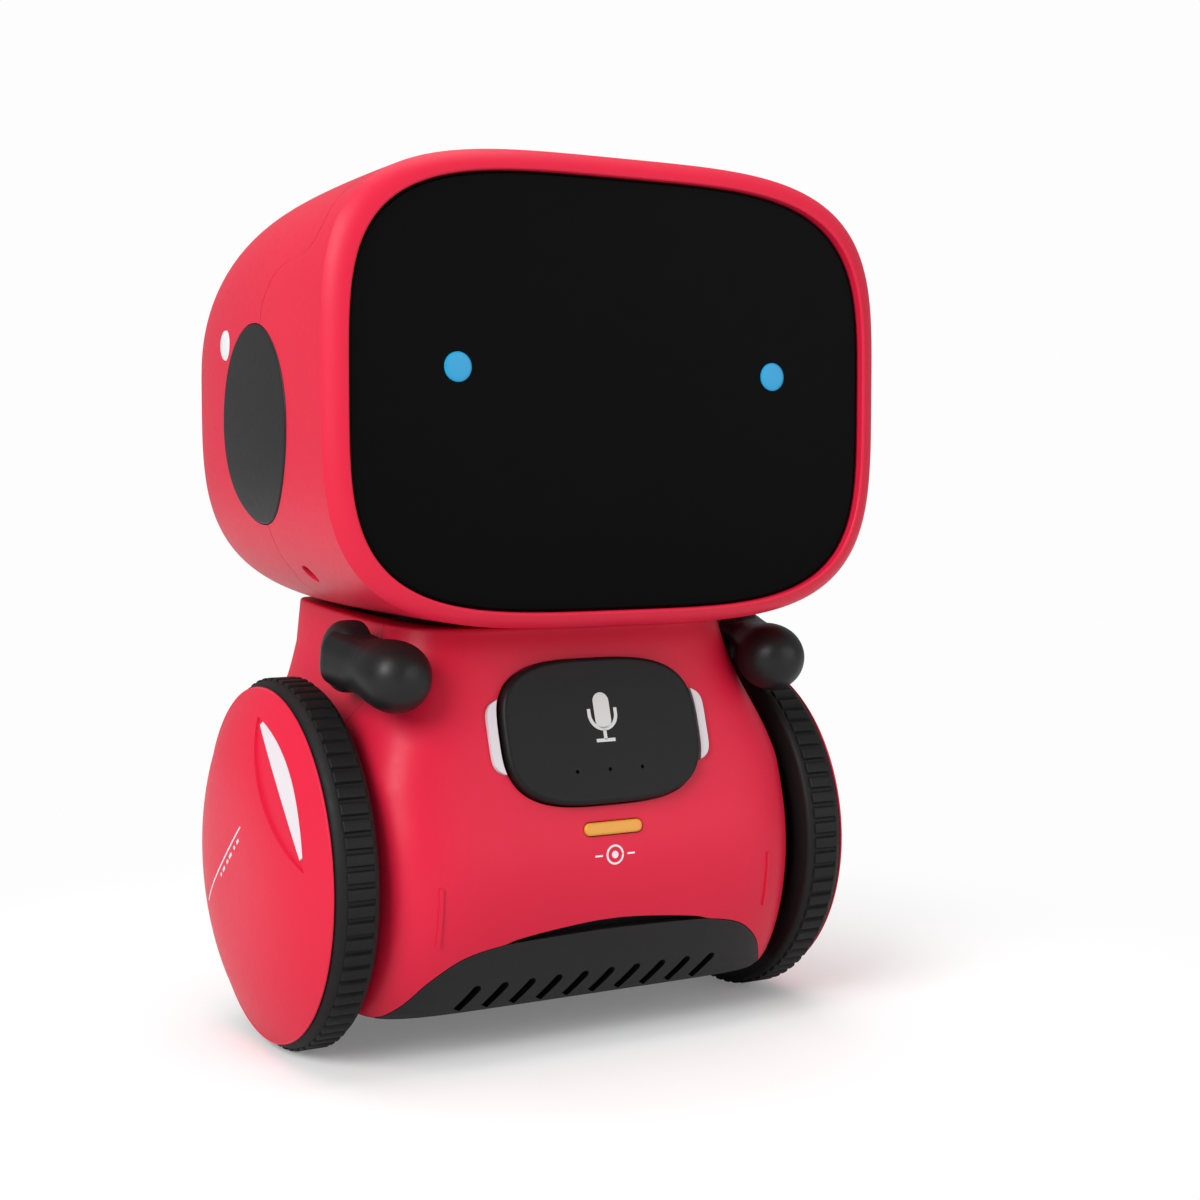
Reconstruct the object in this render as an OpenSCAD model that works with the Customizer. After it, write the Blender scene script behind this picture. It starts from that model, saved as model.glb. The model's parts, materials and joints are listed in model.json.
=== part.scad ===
// Two-wheeled educational robot: swivelling head with a dark face panel, drum-shaped body,
// two geared drive wheels, a rear roller, two short arms and press keys on the chest.
// Units are millimetres. +Z is up, the face looks along -Y and +X is the robot's left.

/* [Part] */
// Sub-part to show, or "all"

/* [Wheels] */
// Radius of the tyre over its ribs
tyre_r = 33; // [28:0.5:38]
// Number of ribs round the tread
rib_count = 72; // [48:4:90]
// Inner face of the tyre, from the middle plane
tyre_in = 43.5; // [42:0.1:46]
// Outer shoulder of the tyre, from the middle plane
tyre_out = 51.4; // [48:0.1:54]
// Height of the red dome over its rim
cap_dome = 6.6; // [4:0.1:8]
// Radius of the red dome's rim
cap_r = 31.5; // [28:0.1:32]

/* [Head] */
// Half width of the head at its front
head_hw = 54.8; // [48:0.1:60]
// Height of the head's widest line above the floor
head_z = 117.2; // [110:0.1:124]
// Half height of the head above that line
head_up = 38.8; // [34:0.1:44]
// Half height of the head below that line
head_dn = 41.4; // [38:0.1:42]
// Front of the head, from the wheel axis
head_front = -38; // [-42:0.5:-34]
// Back of the head, from the wheel axis
head_back = 54; // [48:0.5:60]
// Half width of the face panel
face_hw = 50.7; // [46:0.1:52]
// Half height of the face panel
face_hh = 36.8; // [32:0.1:38]
// Height of the middle of the face panel
face_z = 115.5; // [110:0.1:120]
// Distance of each eye from the middle
eye_x = 31.3; // [20:0.1:40]
// Radius of the round side cover
ear_r = 18.35; // [12:0.05:22]
// Wall of the head shells
head_wall = 2.4; // [2:0.1:3]

/* [Body] */
// Half width of the body between the wheels
body_hw = 42.5; // [40:0.1:43]
// Radius of the round lower body
drum_r = 34.6; // [32:0.1:36]
// Top of the body
body_top = 74.8; // [70:0.1:75]
// Underside of the base above the floor
base_z = 8.4; // [6:0.1:10]
// Wall of the body shells
body_wall = 2.2; // [2:0.1:3]

/* [Chest] */
// Half width of the big key
pad_hw = 20.5; // [16:0.1:21]
// Half height of the big key
pad_hh = 13; // [10:0.1:13.5]
// Half width of the small key
pill_hw = 5.8; // [4:0.1:8]
// Height of the small key above the floor
pill_z = 40.2; // [38:0.1:42]

/* [Arms] */
// Radius of the hand ball
hand_r = 6.15; // [5:0.05:6.5]
// Radius of the shoulder
shoulder_r = 6.3; // [5:0.1:6.4]
// Distance from the shoulder axis to the middle of the hand
arm_len = 15.4; // [12:0.1:18]
// Turn of the arm towards the middle, in degrees
arm_in = 10.3; // [0:0.1:14]
// Slope of the arm below level, in degrees
arm_down = 9.3; // [0:0.1:14]

/* [Drive] */
// Gear module
gear_m = 0.5; // [0.5:0.1:0.5]
// Teeth of the small gears
teeth_small = 12; // [12:1:12]
// Teeth of the large gears
teeth_large = 36; // [36:1:36]
// Direction of the middle gear from the wheel axis, in degrees from +Y
idler_dir = 60; // [50:1:70]
// Radius of the wheel axle
axle_r = 1.5; // [1:0.1:2]

/* [Hidden] */

axle_y = -(head_front + head_back) / 2;
axle_z = tyre_r;
neck_y = (head_front + head_back) / 2;
red = [0.84, 0.13, 0.23];
black = [0.1, 0.1, 0.11];
white = [0.9, 0.88, 0.9];
steel = [0.7, 0.7, 0.72];

// ---- placing helpers ----
module place() { translate([0, axle_y, 0]) children(); }
module along_x(x) { translate([x, 0, 0]) rotate([90, 0, 90]) children(); }
module on_axle() { translate([0, 0, axle_z]) children(); }
module rod_x(x0, x1, y, z, r, f = 32) {
  translate([x0, y, z]) rotate([0, 90, 0]) cylinder(h = x1 - x0, r = r, $fn = f);
}
module rod_y(y0, y1, x, z, r, f = 32) {
  translate([x, y1, z]) rotate([90, 0, 0]) cylinder(h = y1 - y0, r = r, $fn = f);
}
module rod_z(z0, z1, x, y, r, f = 32) { translate([x, y, z0]) cylinder(h = z1 - z0, r = r, $fn = f); }
module block(x0, x1, y0, y1, z0, z1) { translate([x0, y0, z0]) cube([x1 - x0, y1 - y0, z1 - z0]); }
module both() {
  children();
  mirror([1, 0, 0]) children();
}

// ---- section shapes ----
function spow(v, p) = (v < 0 ? -1 : 1) * pow(abs(v), p);
function squircle(a, b, n, c) = [for (i = [0:c - 1])
  let (t = 360 * i / c) [a * spow(cos(t), 2 / n), b * spow(sin(t), 2 / n)]];

module skin(rings, flip) {
  c = len(rings[0]);
  m = len(rings);
  pts = [for (r = rings) each r];
  up = [for (i = [0:c - 1]) i];
  dn = [for (i = [c - 1:-1:0]) i];
  sides = [for (j = [0:m - 2]) for (i = [0:c - 1]) let (k = (i + 1) % c, a = j * c, b = a + c)
    each (flip ? [[a + i, a + k, b + i], [a + k, b + k, b + i]]
      : [[a + i, b + i, a + k], [a + k, b + i, b + k]])];
  caps = flip ? [dn, [for (i = up) (m - 1) * c + i]] : [up, [for (i = dn) (m - 1) * c + i]];
  polyhedron(points = pts, faces = concat(caps, sides), convexity = 6);
}

// ---- head form ----
function head_t(y) = 0.997 * min(1, max(0, (y - head_front) / (head_back - head_front)));
function head_g(t, k, q) = (1 - k * t * t) * pow(1 - pow(t, 6.1), 1 / q);
function head_edge(y) = let (d = min(1, (y - head_front) / 3)) 2 * (1 - sqrt(1 - (1 - d) * (1 - d)));
function head_n(y) = 3.83 - 0.41 * head_t(y);
function head_a(y) = head_hw * head_g(head_t(y), 0.082, 8);
function head_bt(y) = head_up * head_g(head_t(y), 0.083, 1.2);
function head_bb(y) = head_dn * head_g(head_t(y), 0.011, 8);
function head_ring(y, s, w, c) = let (n = head_n(s), e = w + (w > 0 ? 0 : head_edge(s)), a = head_a(s) - e)
  [for (i = [0:c - 1]) let (t = 360 * i / c, b = (sin(t) >= 0 ? head_bt(s) : head_bb(s)) - e)
    [a * spow(cos(t), 2 / n), y, head_z + b * spow(sin(t), 2 / n)]];
function head_side(y, z, w) = let (n = head_n(y), half = z > head_z ? head_bt(y) : head_bb(y))
  head_a(y) * pow(1 - pow(abs(z - head_z) / half, n), 1 / n) - w;

head_ys = [-38, -37.6, -37, -36.2, -35, -20, -5, 9, 20, 29, 36, 41, 45, 48.3, 50.8, 52.6, 53.6, 54];
head_in = [-33, -20, -5, 9, 20, 29, 36, 40, 44, 47, 49.3, 50.8, 51.5];

module head_solid(c = 40) {
  skin([for (y = head_ys) head_ring(y, y, 0, c)], true);
}

module head_inside(w, y0, c = 40) {
  skin([for (y = head_in)
    head_ring(max(y, y0) + (y - head_in[0]) * 0.0001, y + (y > 30 ? w * (y - 30) / 22 : 0), w, c)], true);
}

seam = [[-22.7, 190], [-22.7, 153.8], [-17, 150.7], [-9.5, 148.3], [1.9, 145], [6.2, 140], [8.3, 133],
  [9, 120], [7, 106], [-1.5, 92.4], [-8, 86.6], [-15.4, 83], [-19, 78], [-20.5, 60]];

module head_fore(g) {
  along_x(-70) linear_extrude(140) translate([g, 0]) polygon(concat([[-80, 60], [-80, 190]], seam));
}

head_posts = [[37, 97], [31, 138]];
neck_screws = [30, 150, 270];

module side_screw_axis() {
  translate([head_side(-15.5, 85.3, 0), -15.5, 85.3]) rotate([0, 90 + 38.9, 0]) children();
}

module ear_core(r) { both() rod_x(40, 60, 0, 111.8, r, 64); }

// ---- head pieces ----
module head_front_shell() {
  color(red) place() {
    difference() {
      intersection() {
        head_solid();
        head_fore(0);
      }
      difference() {
        head_inside(head_wall, -31.6);
      }
      translate([0, -34.4, face_z]) rotate([90, 0, 0]) linear_extrude(6)
        polygon(squircle(face_hw + 0.15, face_hh + 0.15, 3.9, 96));
      for (s = [-1, 1]) rod_y(-40, -30, s * eye_x, 119.5, 2.75);
      difference() {
        ear_core(ear_r + 0.15);
        head_inside(1.4, -31.6);
      }
      both() side_screw_axis() {
        translate([0, 0, -1.6]) cylinder(h = 5, r = 1.9, $fn = 24);
        translate([0, 0, -6]) cylinder(h = 6, r = 1.05, $fn = 24);
      }
    }
    for (p = head_posts) both() difference() {
      rod_y(-31.7, -2.2, p[0], p[1], 3);
      rod_y(-14, -2, p[0], p[1], 1);
    }
    for (s = [-1, 1]) difference() {
      rod_y(-31.7, -28.5, s * 40, 119.5, 2);
      rod_y(-31, -28, s * 40, 119.5, 0.8);
    }
  }
}

module head_rear_shell() {
  color(red) place() {
    difference() {
      head_solid();
      head_fore(0.12);
      head_inside(head_wall, -31.6);
      difference() {
        ear_core(ear_r + 0.15);
        head_inside(1.4, -31.6);
      }
      both() rod_x(40, 60, 24, 127, 2.6);
      rod_z(70, 82, 0, neck_y, 9.04, 64);
      for (a = neck_screws) translate([0, neck_y, 0]) rotate([0, 0, a]) rod_z(77.4, 84, 16.6, 0, 0.62, 24);
      for (p = head_posts) both() rod_y(12, 60, p[0], p[1], 2.7);
    }
    difference() {
      intersection() {
        for (p = head_posts) both() rod_y(-2, 60, p[0], p[1], 3.7);
        head_solid();
      }
      for (p = head_posts) both() {
        rod_y(12, 60, p[0], p[1], 2.7);
        rod_y(-3, 14, p[0], p[1], 1.15);
      }
    }
    for (a = neck_screws) translate([0, neck_y, 0]) rotate([0, 0, a]) difference() {
      rod_z(77.6, 80.05, 16.6, 0, 2);
      rod_z(77.4, 81, 16.6, 0, 0.62, 24);
    }
    both() difference() {
      union() {
        intersection() {
          head_inside(2.6, -31.6);
          block(38, 56, -20, -6, 80, 91);
        }
        difference() {
          intersection() {
            head_inside(2.1, -31.6);
            block(38, 56, -20, -4, 80, 91);
          }
          head_fore(0.12);
        }
      }
      head_inside(5, -31.6);
      side_screw_axis() translate([0, 0, -9]) cylinder(h = 9, r = 0.9, $fn = 24);
    }
  }
}

face_steps = [[-34.45, 1], [-36.2, 1], [-36.5, 0.99], [-36.7, 0.8], [-36.85, 0.5], [-36.9, 0.1]];

module face_panel() {
  color([0.02, 0.02, 0.025]) place() difference() {
    translate([0, 0, face_z]) skin([for (k = face_steps)
      [for (p = squircle(face_hw * k[1], face_hh * k[1], 3.9, 72)) [p[0], k[0], p[1]]]], false);
    for (s = [-1, 1]) rod_y(-40, -30, s * eye_x, 119.5, 2.56);
  }
}

module eye_lenses() {
  color([0.0, 0.65, 0.85]) place() for (s = [-1, 1]) {
    rod_y(-37.05, -34.45, s * eye_x, 119.5, 2.5);
  }
}

module eye_board() {
  color([0.05, 0.3, 0.12]) place() difference() {
    block(-44, 44, -28.4, -26.8, 113, 126);
    for (s = [-1, 1]) rod_y(-30, -25, s * 40, 119.5, 1.2);
  }
}

module eye_leds() {
  color(white) place() for (s = [-1, 1]) {
    rod_y(-33.4, -28.4, s * eye_x, 119.5, 2.4);
    rod_y(-29.4, -28.4, s * eye_x, 119.5, 2.65);
  }
}

module ear_disc() {
  intersection() {
    difference() {
      translate([0.25, 0, 0]) head_solid();
      head_inside(1.3, -31.6);
    }
    rod_x(40, 60, 0, 111.8, ear_r, 64);
  }
}

module ear_disc_left() { color(black) place() ear_disc(); }
module ear_disc_right() { color(black) place() mirror([1, 0, 0]) ear_disc(); }

module side_lights() {
  x = head_side(24, 127, 0);
  color(white) place() both() {
    rod_x(x - 2.2, x + 0.15, 24, 127, 2.5);
    rod_x(x - 4.9, x - 4, 24, 127, 3.4);
    rod_x(x - 4.5, x - 1, 24, 127, 2.5);
  }
}

module neck_tube() {
  color(black) place() translate([0, neck_y, 0]) difference() {
    union() {
      rod_z(68.4, 81.6, 0, 0, 9, 64);
      rod_z(80.1, 81.6, 0, 0, 14.2, 64);
      for (a = neck_screws) rotate([0, 0, a]) {
        block(12, 16.6, -2.4, 2.4, 80.1, 81.6);
        rod_z(80.1, 81.6, 16.6, 0, 2.4);
      }
    }
    rod_z(66, 84, 0, 0, 6.2, 48);
    for (a = neck_screws) rotate([0, 0, a]) rod_z(79, 83, 16.6, 0, 0.8, 24);
    difference() {
      rod_z(70.2, 72.2, 0, 0, 9.5, 64);
      rod_z(70, 72.4, 0, 0, 8, 64);
    }
  }
}

module neck_ring() {
  color(white) place() translate([0, neck_y, 0]) difference() {
    rod_z(70.35, 72.05, 0, 0, 12.5, 64);
    rod_z(70, 73, 0, 0, 8.03, 64);
    block(0, 20, -5, 5, 70, 73);
  }
}

module head_screws() {
  color(steel) place() {
    for (p = head_posts) both() {
      rod_y(-12, 12, p[0], p[1], 0.98, 24);
      difference() {
        rod_y(12, 14, p[0], p[1], 2.4, 24);
        translate([p[0], 14, p[1]]) for (a = [0, 90]) rotate([0, a, 0]) cube([3, 1.8, 0.6], center = true);
      }
    }
    for (a = neck_screws) translate([0, neck_y, 0]) rotate([0, 0, a]) {
      rod_z(77.6, 81.7, 16.6, 0, 0.6, 24);
      difference() {
        rod_z(81.65, 82.8, 16.6, 0, 1.6, 24);
        translate([16.6, 0, 82.8]) for (b = [0, 90]) rotate([0, 0, b])
          cube([2.2, 0.45, 1.2], center = true);
      }
    }
    both() side_screw_axis() {
      translate([0, 0, -7.6]) cylinder(h = 6.1, r = 0.88, $fn = 24);
      difference() {
        translate([0, 0, -1.55]) cylinder(h = 1, r = 1.7, $fn = 24);
        for (a = [0, 90]) translate([0, 0, -0.5]) rotate([0, 0, a]) cube([2.2, 0.45, 0.9], center = true);
      }
    }
  }
}

// ---- body form ----
function lerp(x, x0, x1, a, b) = a + (b - a) * min(1, max(0, (x - x0) / (x1 - x0)));
function body_f(z, w) = z < 43 ? sqrt(max(1, pow(drum_r - w, 2) - pow(z - axle_z, 2)))
  : sqrt(drum_r * drum_r - 100) - 0.302 * (z - 43) - w * 1.04;
function body_b(z, w) = z < axle_z ? sqrt(max(1, pow(drum_r - w, 2) - pow(z - axle_z, 2)))
  : drum_r - w + 0.075 * pow(z - axle_z, 2) / (z - axle_z + 6);
body_ws = [[8.4, 41.2], [9.2, 41.9], [10.5, 42.3], [13, 42.5], [46, 42.5], [50, 42.2], [54, 41.3],
  [58, 39.9], [62, 38.3], [66, 36.8], [70, 35.6], [74, 34.9], [76, 34.7]];
function body_w(z) = body_hw - 42.5 + lookup(z, body_ws);
function body_n(z) = lerp(z, 50, 64, 7, 5.5);
function body_ring(z, w, c) = let (n = body_n(z), f = body_f(z, w), b = body_b(z, w), m = (b - f) / 2)
  [for (i = [0:c - 1]) let (t = 360 * i / c)
    [(body_w(z) - w) * spow(cos(t), 2 / n), m + (b + f) / 2 * spow(sin(t), 2 / n), z]];

// the top dishes between low front and higher rear and sides, under the head's rounded bottom
function rim_z(x, y) = let (u = x / 35, v = max(0, (y + 25) / 62))
  body_top + 0.45 + 1.6 * v * v + 2.4 * u * u * v;
function top_ring(k, rise, drop, c) = let (m = (body_b(74, 0) - body_f(74, 0)) / 2)
  [for (p = body_ring(74, 0, c)) let (x = p[0] * k, y = m + (p[1] - m) * k)
    [x, y, body_top + rise * (rim_z(x, y) - body_top) - drop]];

body_zs = [8.4, 9.2, 10.5, 13, 16.5, 21, 26, 33, 40, 43, 46, 50, 54, 58, 62, 66, 70];
body_in = [8.2, 9, 11, 13.5, 16.5, 21, 26, 33, 40, 43, 46, 50, 54, 58, 62, 66, 69.5, 72.6];

module body_solid(c = 40) {
  skin(concat([for (z = body_zs) body_ring(z, 0, c)],
    [for (k = [[1.004, 1, 1.2], [1, 1, 0.35], [0.985, 1, 0], [0.87, 1, 0], [0.62, 0, 0], [0.55, 0, 0]])
      top_ring(k[0], k[1], k[2], c)]), false);
}
module body_inside(w, c = 40) { skin([for (z = body_in) body_ring(z, w, c)], false); }

arch = [[39.9, 8.3], [38.2, 10], [36.3, 12.3], [34.3, 15.1], [31.9, 17.4], [29.2, 19.3], [26.5, 20.4],
  [23.5, 21.1]];
arch_mid = [[20.6, 21.6], [18.6, 22.2], [14.2, 22.9], [8, 23.6], [2.5, 24]];
arch_low = [[20.6, 21.6], [14.2, 21.9], [7, 22.1], [2.5, 22.2]];

function arch_line(mid, g) = let (h = concat(arch, mid)) concat([for (p = h) [p[0] - g, p[1] - g]],
  [for (i = [len(h) - 1:-1:0]) [-h[i][0] + g, h[i][1] - g]]);

module arch_cut(mid, g, y0, y1) {
  translate([0, y1, 0]) rotate([90, 0, 0]) linear_extrude(y1 - y0)
    polygon(concat([[39.9 - g, 0]], arch_line(mid, g), [[g - 39.9, 0]]));
}

module body_fore(g) {
  along_x(-60) linear_extrude(120) translate([g, 0])
    polygon([[-60, 0], [0, 0], [0, 50], [-12, 62], [-12, 90], [-60, 90]]);
}

module pad_frame() { translate([0, -28.96, 56.7]) rotate([73.2, 0, 0]) children(); }
module pill_frame() {
  a = asin((pill_z - axle_z) / drum_r);
  translate([0, -drum_r * cos(a), pill_z]) rotate([90 - a, 0, 0]) children();
}
module pill(l, r) {
  square([2 * (l - r), 2 * r], center = true);
  for (s = [-1, 1]) translate([s * (l - r), 0]) circle(r = r, $fn = 32);
}
module wing(g) {
  intersection() {
    difference() {
      polygon(squircle(22.3 + g, 7.4 + g, 6, 64));
      polygon(squircle(pad_hw + 0.75 - g, pad_hh + 0.75 - g, 3.2, 96));
    }
    translate([15, -12]) square([12, 24]);
  }
}

shoulder = [41.1, -12, 70.45];
body_posts = [[22, 62]];
base_posts = [[34.5, -14], [34.5, 14]];

module shell_holes() {
  both() rod_x(36, 60, 0, axle_z, axle_r + 0.05, 48);
  both() rod_x(28, 60, shoulder[1], shoulder[2], 1.56, 48);
  both() translate([0, 12 * cos(idler_dir), axle_z + 12 * sin(idler_dir)]) rod_x(36, 41.4, 0, 0, 1, 32);
}

module side_bosses() {
  both() rod_x(39.9, 41, 0, axle_z, 3.4);
  both() translate([0, 12 * cos(idler_dir), axle_z + 12 * sin(idler_dir)]) rod_x(39.9, 41, 0, 0, 2.4);
}

// ---- body pieces ----
module body_front_shell() {
  color(red) place() {
    difference() {
      union() {
        intersection() {
          difference() {
            body_solid();
            body_inside(body_wall);
          }
          body_fore(0);
          block(-60, 60, -60, 60, 8.3, 90);
        }
        pad_frame() translate([0, 0, -3.6]) linear_extrude(2)
          polygon(squircle(pad_hw + 3, pad_hh + 1.6, 4, 64));
        intersection() {
          side_bosses();
          body_fore(0);
        }
        for (s = [-1, 1]) intersection() {
          translate([s * 33.3, -0.45, 27.4]) difference() {
            rod_x(-0.35, 0.35, 0, 0, drum_r + 5, 48);
            rod_x(-1, 1, 0, 0, drum_r - 3, 48);
          }
          translate([0, -0.35, 0]) body_solid();
          block(-60, 60, -60, -20, 22.5, 32.7);
        }
      }
      difference() {
        arch_cut(arch_mid, 0, -60, 5);
      }
      pad_frame() translate([0, 0, -2]) linear_extrude(8)
        polygon(squircle(pad_hw + 0.3, pad_hh + 0.3, 3.2, 96));
      pad_frame() translate([0, 0, -1.6]) linear_extrude(8) both() wing(0.08);
      pad_frame() for (s = [-1, 0, 1]) translate([s * 12, 0, -6])
        cylinder(h = 8, r = s == 0 ? 2.4 : 1.3, $fn = 32);
      pill_frame() translate([0, 0, -5]) linear_extrude(8) pill(pill_hw + 0.15, 1.3);
      shell_holes();
    }
    for (p = body_posts) both() difference() {
      rod_y(-24.4, -12.2, p[0], p[1], 3);
      rod_y(-20, -12, p[0], p[1], 1);
    }
    pad_frame() for (s = [-1, 1]) for (y = [-11, 10]) translate([s * 16, y, 0]) {
      translate([0, 0, -8.15]) cylinder(h = 5, r = 1.4, $fn = 24);
      translate([0, 0, -10.4]) cylinder(h = 3, r = 0.75, $fn = 24);
    }
    both() difference() {
      union() {
        rod_z(11.1, 22, 34.5, -14, 2.8);
        block(34.5, 40.6, -14.8, -13.2, 15.5, 22);
      }
      rod_z(10, 20, 34.5, -14, 1);
    }
  }
}

module body_rear_shell() {
  color(red) place() {
    difference() {
      union() {
        difference() {
          body_solid();
          body_inside(body_wall);
          body_fore(0.12);
        }
        difference() {
          side_bosses();
          body_fore(0.12);
        }
      }
      arch_cut(arch_low, 0, -5, 60);
      rod_z(70, 80, 0, neck_y, 9.08, 64);
      for (p = body_posts) both() rod_y(14, 60, p[0], p[1], 2.7);
      translate([0, 20, 27]) block(-5.2, 5.2, 0, 20, -2.1, 2.1);
      shell_holes();
    }
    for (p = body_posts) both() difference() {
      rod_y(-12, 36, p[0], p[1], 3.7);
      rod_y(14, 50, p[0], p[1], 2.7);
      rod_y(-13, 16, p[0], p[1], 1.15);
    }
    both() difference() {
      union() {
        rod_z(11.1, 22, 34.5, 14, 2.8);
        block(34.5, 40.6, 13.2, 14.8, 15.5, 22);
      }
      rod_z(10, 20, 34.5, 14, 1);
    }
    both() difference() {
      block(14.4, 17, 24, 35.8, 52, 55);
      rod_y(20, 32, 15.7, 53.5, 0.7, 16);
    }
  }
}

module slot(l, w) {
  translate([-w / 2, 0]) square([w, l]);
  translate([0, l]) circle(r = w / 2, $fn = 24);
}

module base_plate() {
  color(black) place() {
    difference() {
      union() {
        intersection() {
          difference() {
            body_solid();
            body_inside(2.4);
          }
          union() {
            arch_cut(arch_low, 0.12, -60, 0);
            arch_cut(arch_low, 0.12, 0, 60);
          }
        }
        intersection() {
          body_solid();
          arch_cut([], 0.12, -60, 60);
          block(-60, 60, -60, 60, 8, 11);
        }
        intersection() {
          difference() {
            body_inside(2.35);
            body_inside(3.5);
          }
          block(-23, 23, -60, -20, 20, 26);
        }
        block(-27.9, 27.9, -17.5, 17.5, 10, 23.1);
        rod_z(9, 18, 32.4, 0, 3.2);
        intersection() {
          body_solid();
          block(-7.6, 7.6, 19, 33, 8.4, 14);
        }
        both() {
          rod_x(5.1, 7.3, 26, 5, 2.4);
          block(5.1, 7.3, 23.6, 28.4, 5, 9.4);
        }
      }
      block(-26.5, 26.5, -16.3, 16.3, 5, 21.9);
      block(-30, 30, -20.5, 20.5, 5, 9.75);
      rod_z(5, 9.75, 32.4, 0, 4.4);
      rod_z(9, 17, 32.4, 0, 0.9);
      block(-5, 5, 20.6, 31.6, 5, 10.7);
      rod_x(-7.4, 7.4, 26, 5, 0.9);
      for (i = [0:9]) translate([-26.4 + 5.35 * i, -20, 9.2]) rotate([90, 30, 0])
        linear_extrude(20) slot(4.6, 1.7);
      for (p = base_posts) both() {
        rod_z(8, 12, p[0], p[1], 1.2);
        rod_z(8, 10, p[0], p[1], 2.5);
      }
    }
    both() difference() {
      block(15, 17.5, -24.6, -21, 10.5, 13);
      rod_z(11.2, 14, 16.2, -22.6, 0.5, 16);
    }
  }
}

module chest_lights() {
  color(white) place() pad_frame() both() translate([0, 0, -1.55]) linear_extrude(1.85) wing(0);
}

module main_board() {
  color([0.05, 0.3, 0.12]) place() pad_frame() difference() {
    translate([-18.4, -20, -9.8]) cube([36.8, 32, 1.6]);
    for (s = [-1, 1]) for (y = [-11, 10]) translate([s * 16, y, -11]) cylinder(h = 4, r = 0.85, $fn = 24);
  }
}

module board_chips() {
  color([0.12, 0.12, 0.13]) place() pad_frame() {
    translate([-12, -12, -11.6]) cube([10, 10, 1.8]);
    translate([4, -10, -11.3]) cube([6, 5, 1.5]);
    translate([-4, 4, -14.6]) cube([10, 5, 4.8]);
    translate([-16, -2, -14.8]) cylinder(h = 5, r = 2.5, $fn = 32);
  }
}

module microphone() {
  color(steel) place() pad_frame() translate([0, -8.4, -8.2]) {
    cylinder(h = 2.2, r = 3, $fn = 32);
    translate([0, 0, 2.2]) cylinder(h = 0.3, r = 2.2, $fn = 32);
  }
}

module key_switches() {
  color(black) place() pad_frame() for (y = [0, -17.2]) {
    translate([-3, y - 3 + (y < 0 ? 1 : 0), -8.2]) cube([6, y < 0 ? 5 : 6, 2.9]);
    translate([0, y, -5.3]) cylinder(h = y < 0 ? 0.4 : 1.1, r = 1.6, $fn = 32);
  }
}

module speaker() {
  color(black) place() translate([0, 0, axle_z]) rotate([123, 0, 0]) {
    difference() {
      union() {
        translate([-10.5, -5.4, 26.2]) cube([21, 10.8, 3.2]);
        for (s = [-1, 1]) translate([s * 10.5, 0, 26.2]) cylinder(h = 3.2, r = 5.4, $fn = 48);
      }
      translate([-10.5, -4.2, 28.6]) cube([21, 8.4, 2]);
      for (s = [-1, 1]) translate([s * 10.5, 0, 28.6]) cylinder(h = 2, r = 4.2, $fn = 48);
    }
    translate([-9.5, -3, 28.6]) cube([19, 6, 0.5]);
  }
}

pin_y = 12 * cos(idler_dir);
pin_z = axle_z + 12 * sin(idler_dir);
motor_y = pin_y + 12;

module drive_motors() {
  color(steel) place() both() difference() {
    union() {
      intersection() {
        rod_x(8, 30.9, motor_y, pin_z, 10, 64);
        block(8, 30.9, motor_y - 10, motor_y + 10, pin_z - 7.6, pin_z + 7.6);
      }
      rod_x(30.9, 32.4, motor_y, pin_z, 3.1);
      intersection() {
        rod_x(5.6, 8, motor_y, pin_z, 9.4, 64);
        block(5, 9, motor_y - 9.4, motor_y + 9.4, pin_z - 7, pin_z + 7);
      }
      rod_x(4.4, 5.6, motor_y, pin_z, 2.6);
    }
    rod_x(3, 40, motor_y, pin_z, 1.04);
  }
}

module drive_frame() {
  difference() {
    union() {
      block(31, 33, -6, 30, 26, 52.5);
      for (p = [[-4, 50.2], [16, 29.2]]) rod_x(33, 39.8, p[0], p[1], 1.8);
    }
    rod_x(30, 34, 0, axle_z, axle_r + 0.05, 48);
    rod_x(30, 34, motor_y, pin_z, 3.15);
    rod_x(30, 34, pin_y, pin_z, 1, 32);
    block(30, 34, 23, 33, 20, 27.4);
  }
}

module drive_frame_left() { color([0.85, 0.85, 0.82]) place() drive_frame(); }
module drive_frame_right() { color([0.85, 0.85, 0.82]) place() mirror([1, 0, 0]) drive_frame(); }

module gear_pins() { color(steel) place() both() rod_x(31, 41.3, pin_y, pin_z, 1, 32); }

module batteries() {
  color([0.15, 0.35, 0.6]) place() for (i = [-1:1]) {
    s = i == 0 ? -1 : 1;
    rod_x(-21.6, 21.6, i * 10.9, 16.5, 5.2, 48);
    if (s > 0) rod_x(21.6, 22.4, i * 10.9, 16.5, 1.9, 24);
    if (s < 0) rod_x(-22.4, -21.6, i * 10.9, 16.5, 1.9, 24);
  }
}

module battery_contacts() {
  color(steel) place() for (i = [-1:1]) {
    s = i == 0 ? -1 : 1;
    block(-26.4, -26, i * 10.9 - 4.6, i * 10.9 + 4.6, 12, 21);
    block(26, 26.4, i * 10.9 - 4.6, i * 10.9 + 4.6, 12, 21);
    if (s > 0) rod_x(22.5, 26.1, i * 10.9, 16.5, 1.2, 24);
    if (s < 0) rod_x(-26.1, -22.5, i * 10.9, 16.5, 1.2, 24);
    for (k = [0:2]) translate([-s * (22.1 + k * 1.2), i * 10.9, 16.5]) rotate([0, 90, 0])
      rotate_extrude($fn = 32) translate([2.6 + 0.5 * k, 0]) circle(r = 0.4, $fn = 16);
    rod_x(s > 0 ? -26.1 : 21.7, s > 0 ? -21.7 : 26.1, i * 10.9 + 3.1, 16.5, 0.45, 16);
  }
}

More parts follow.
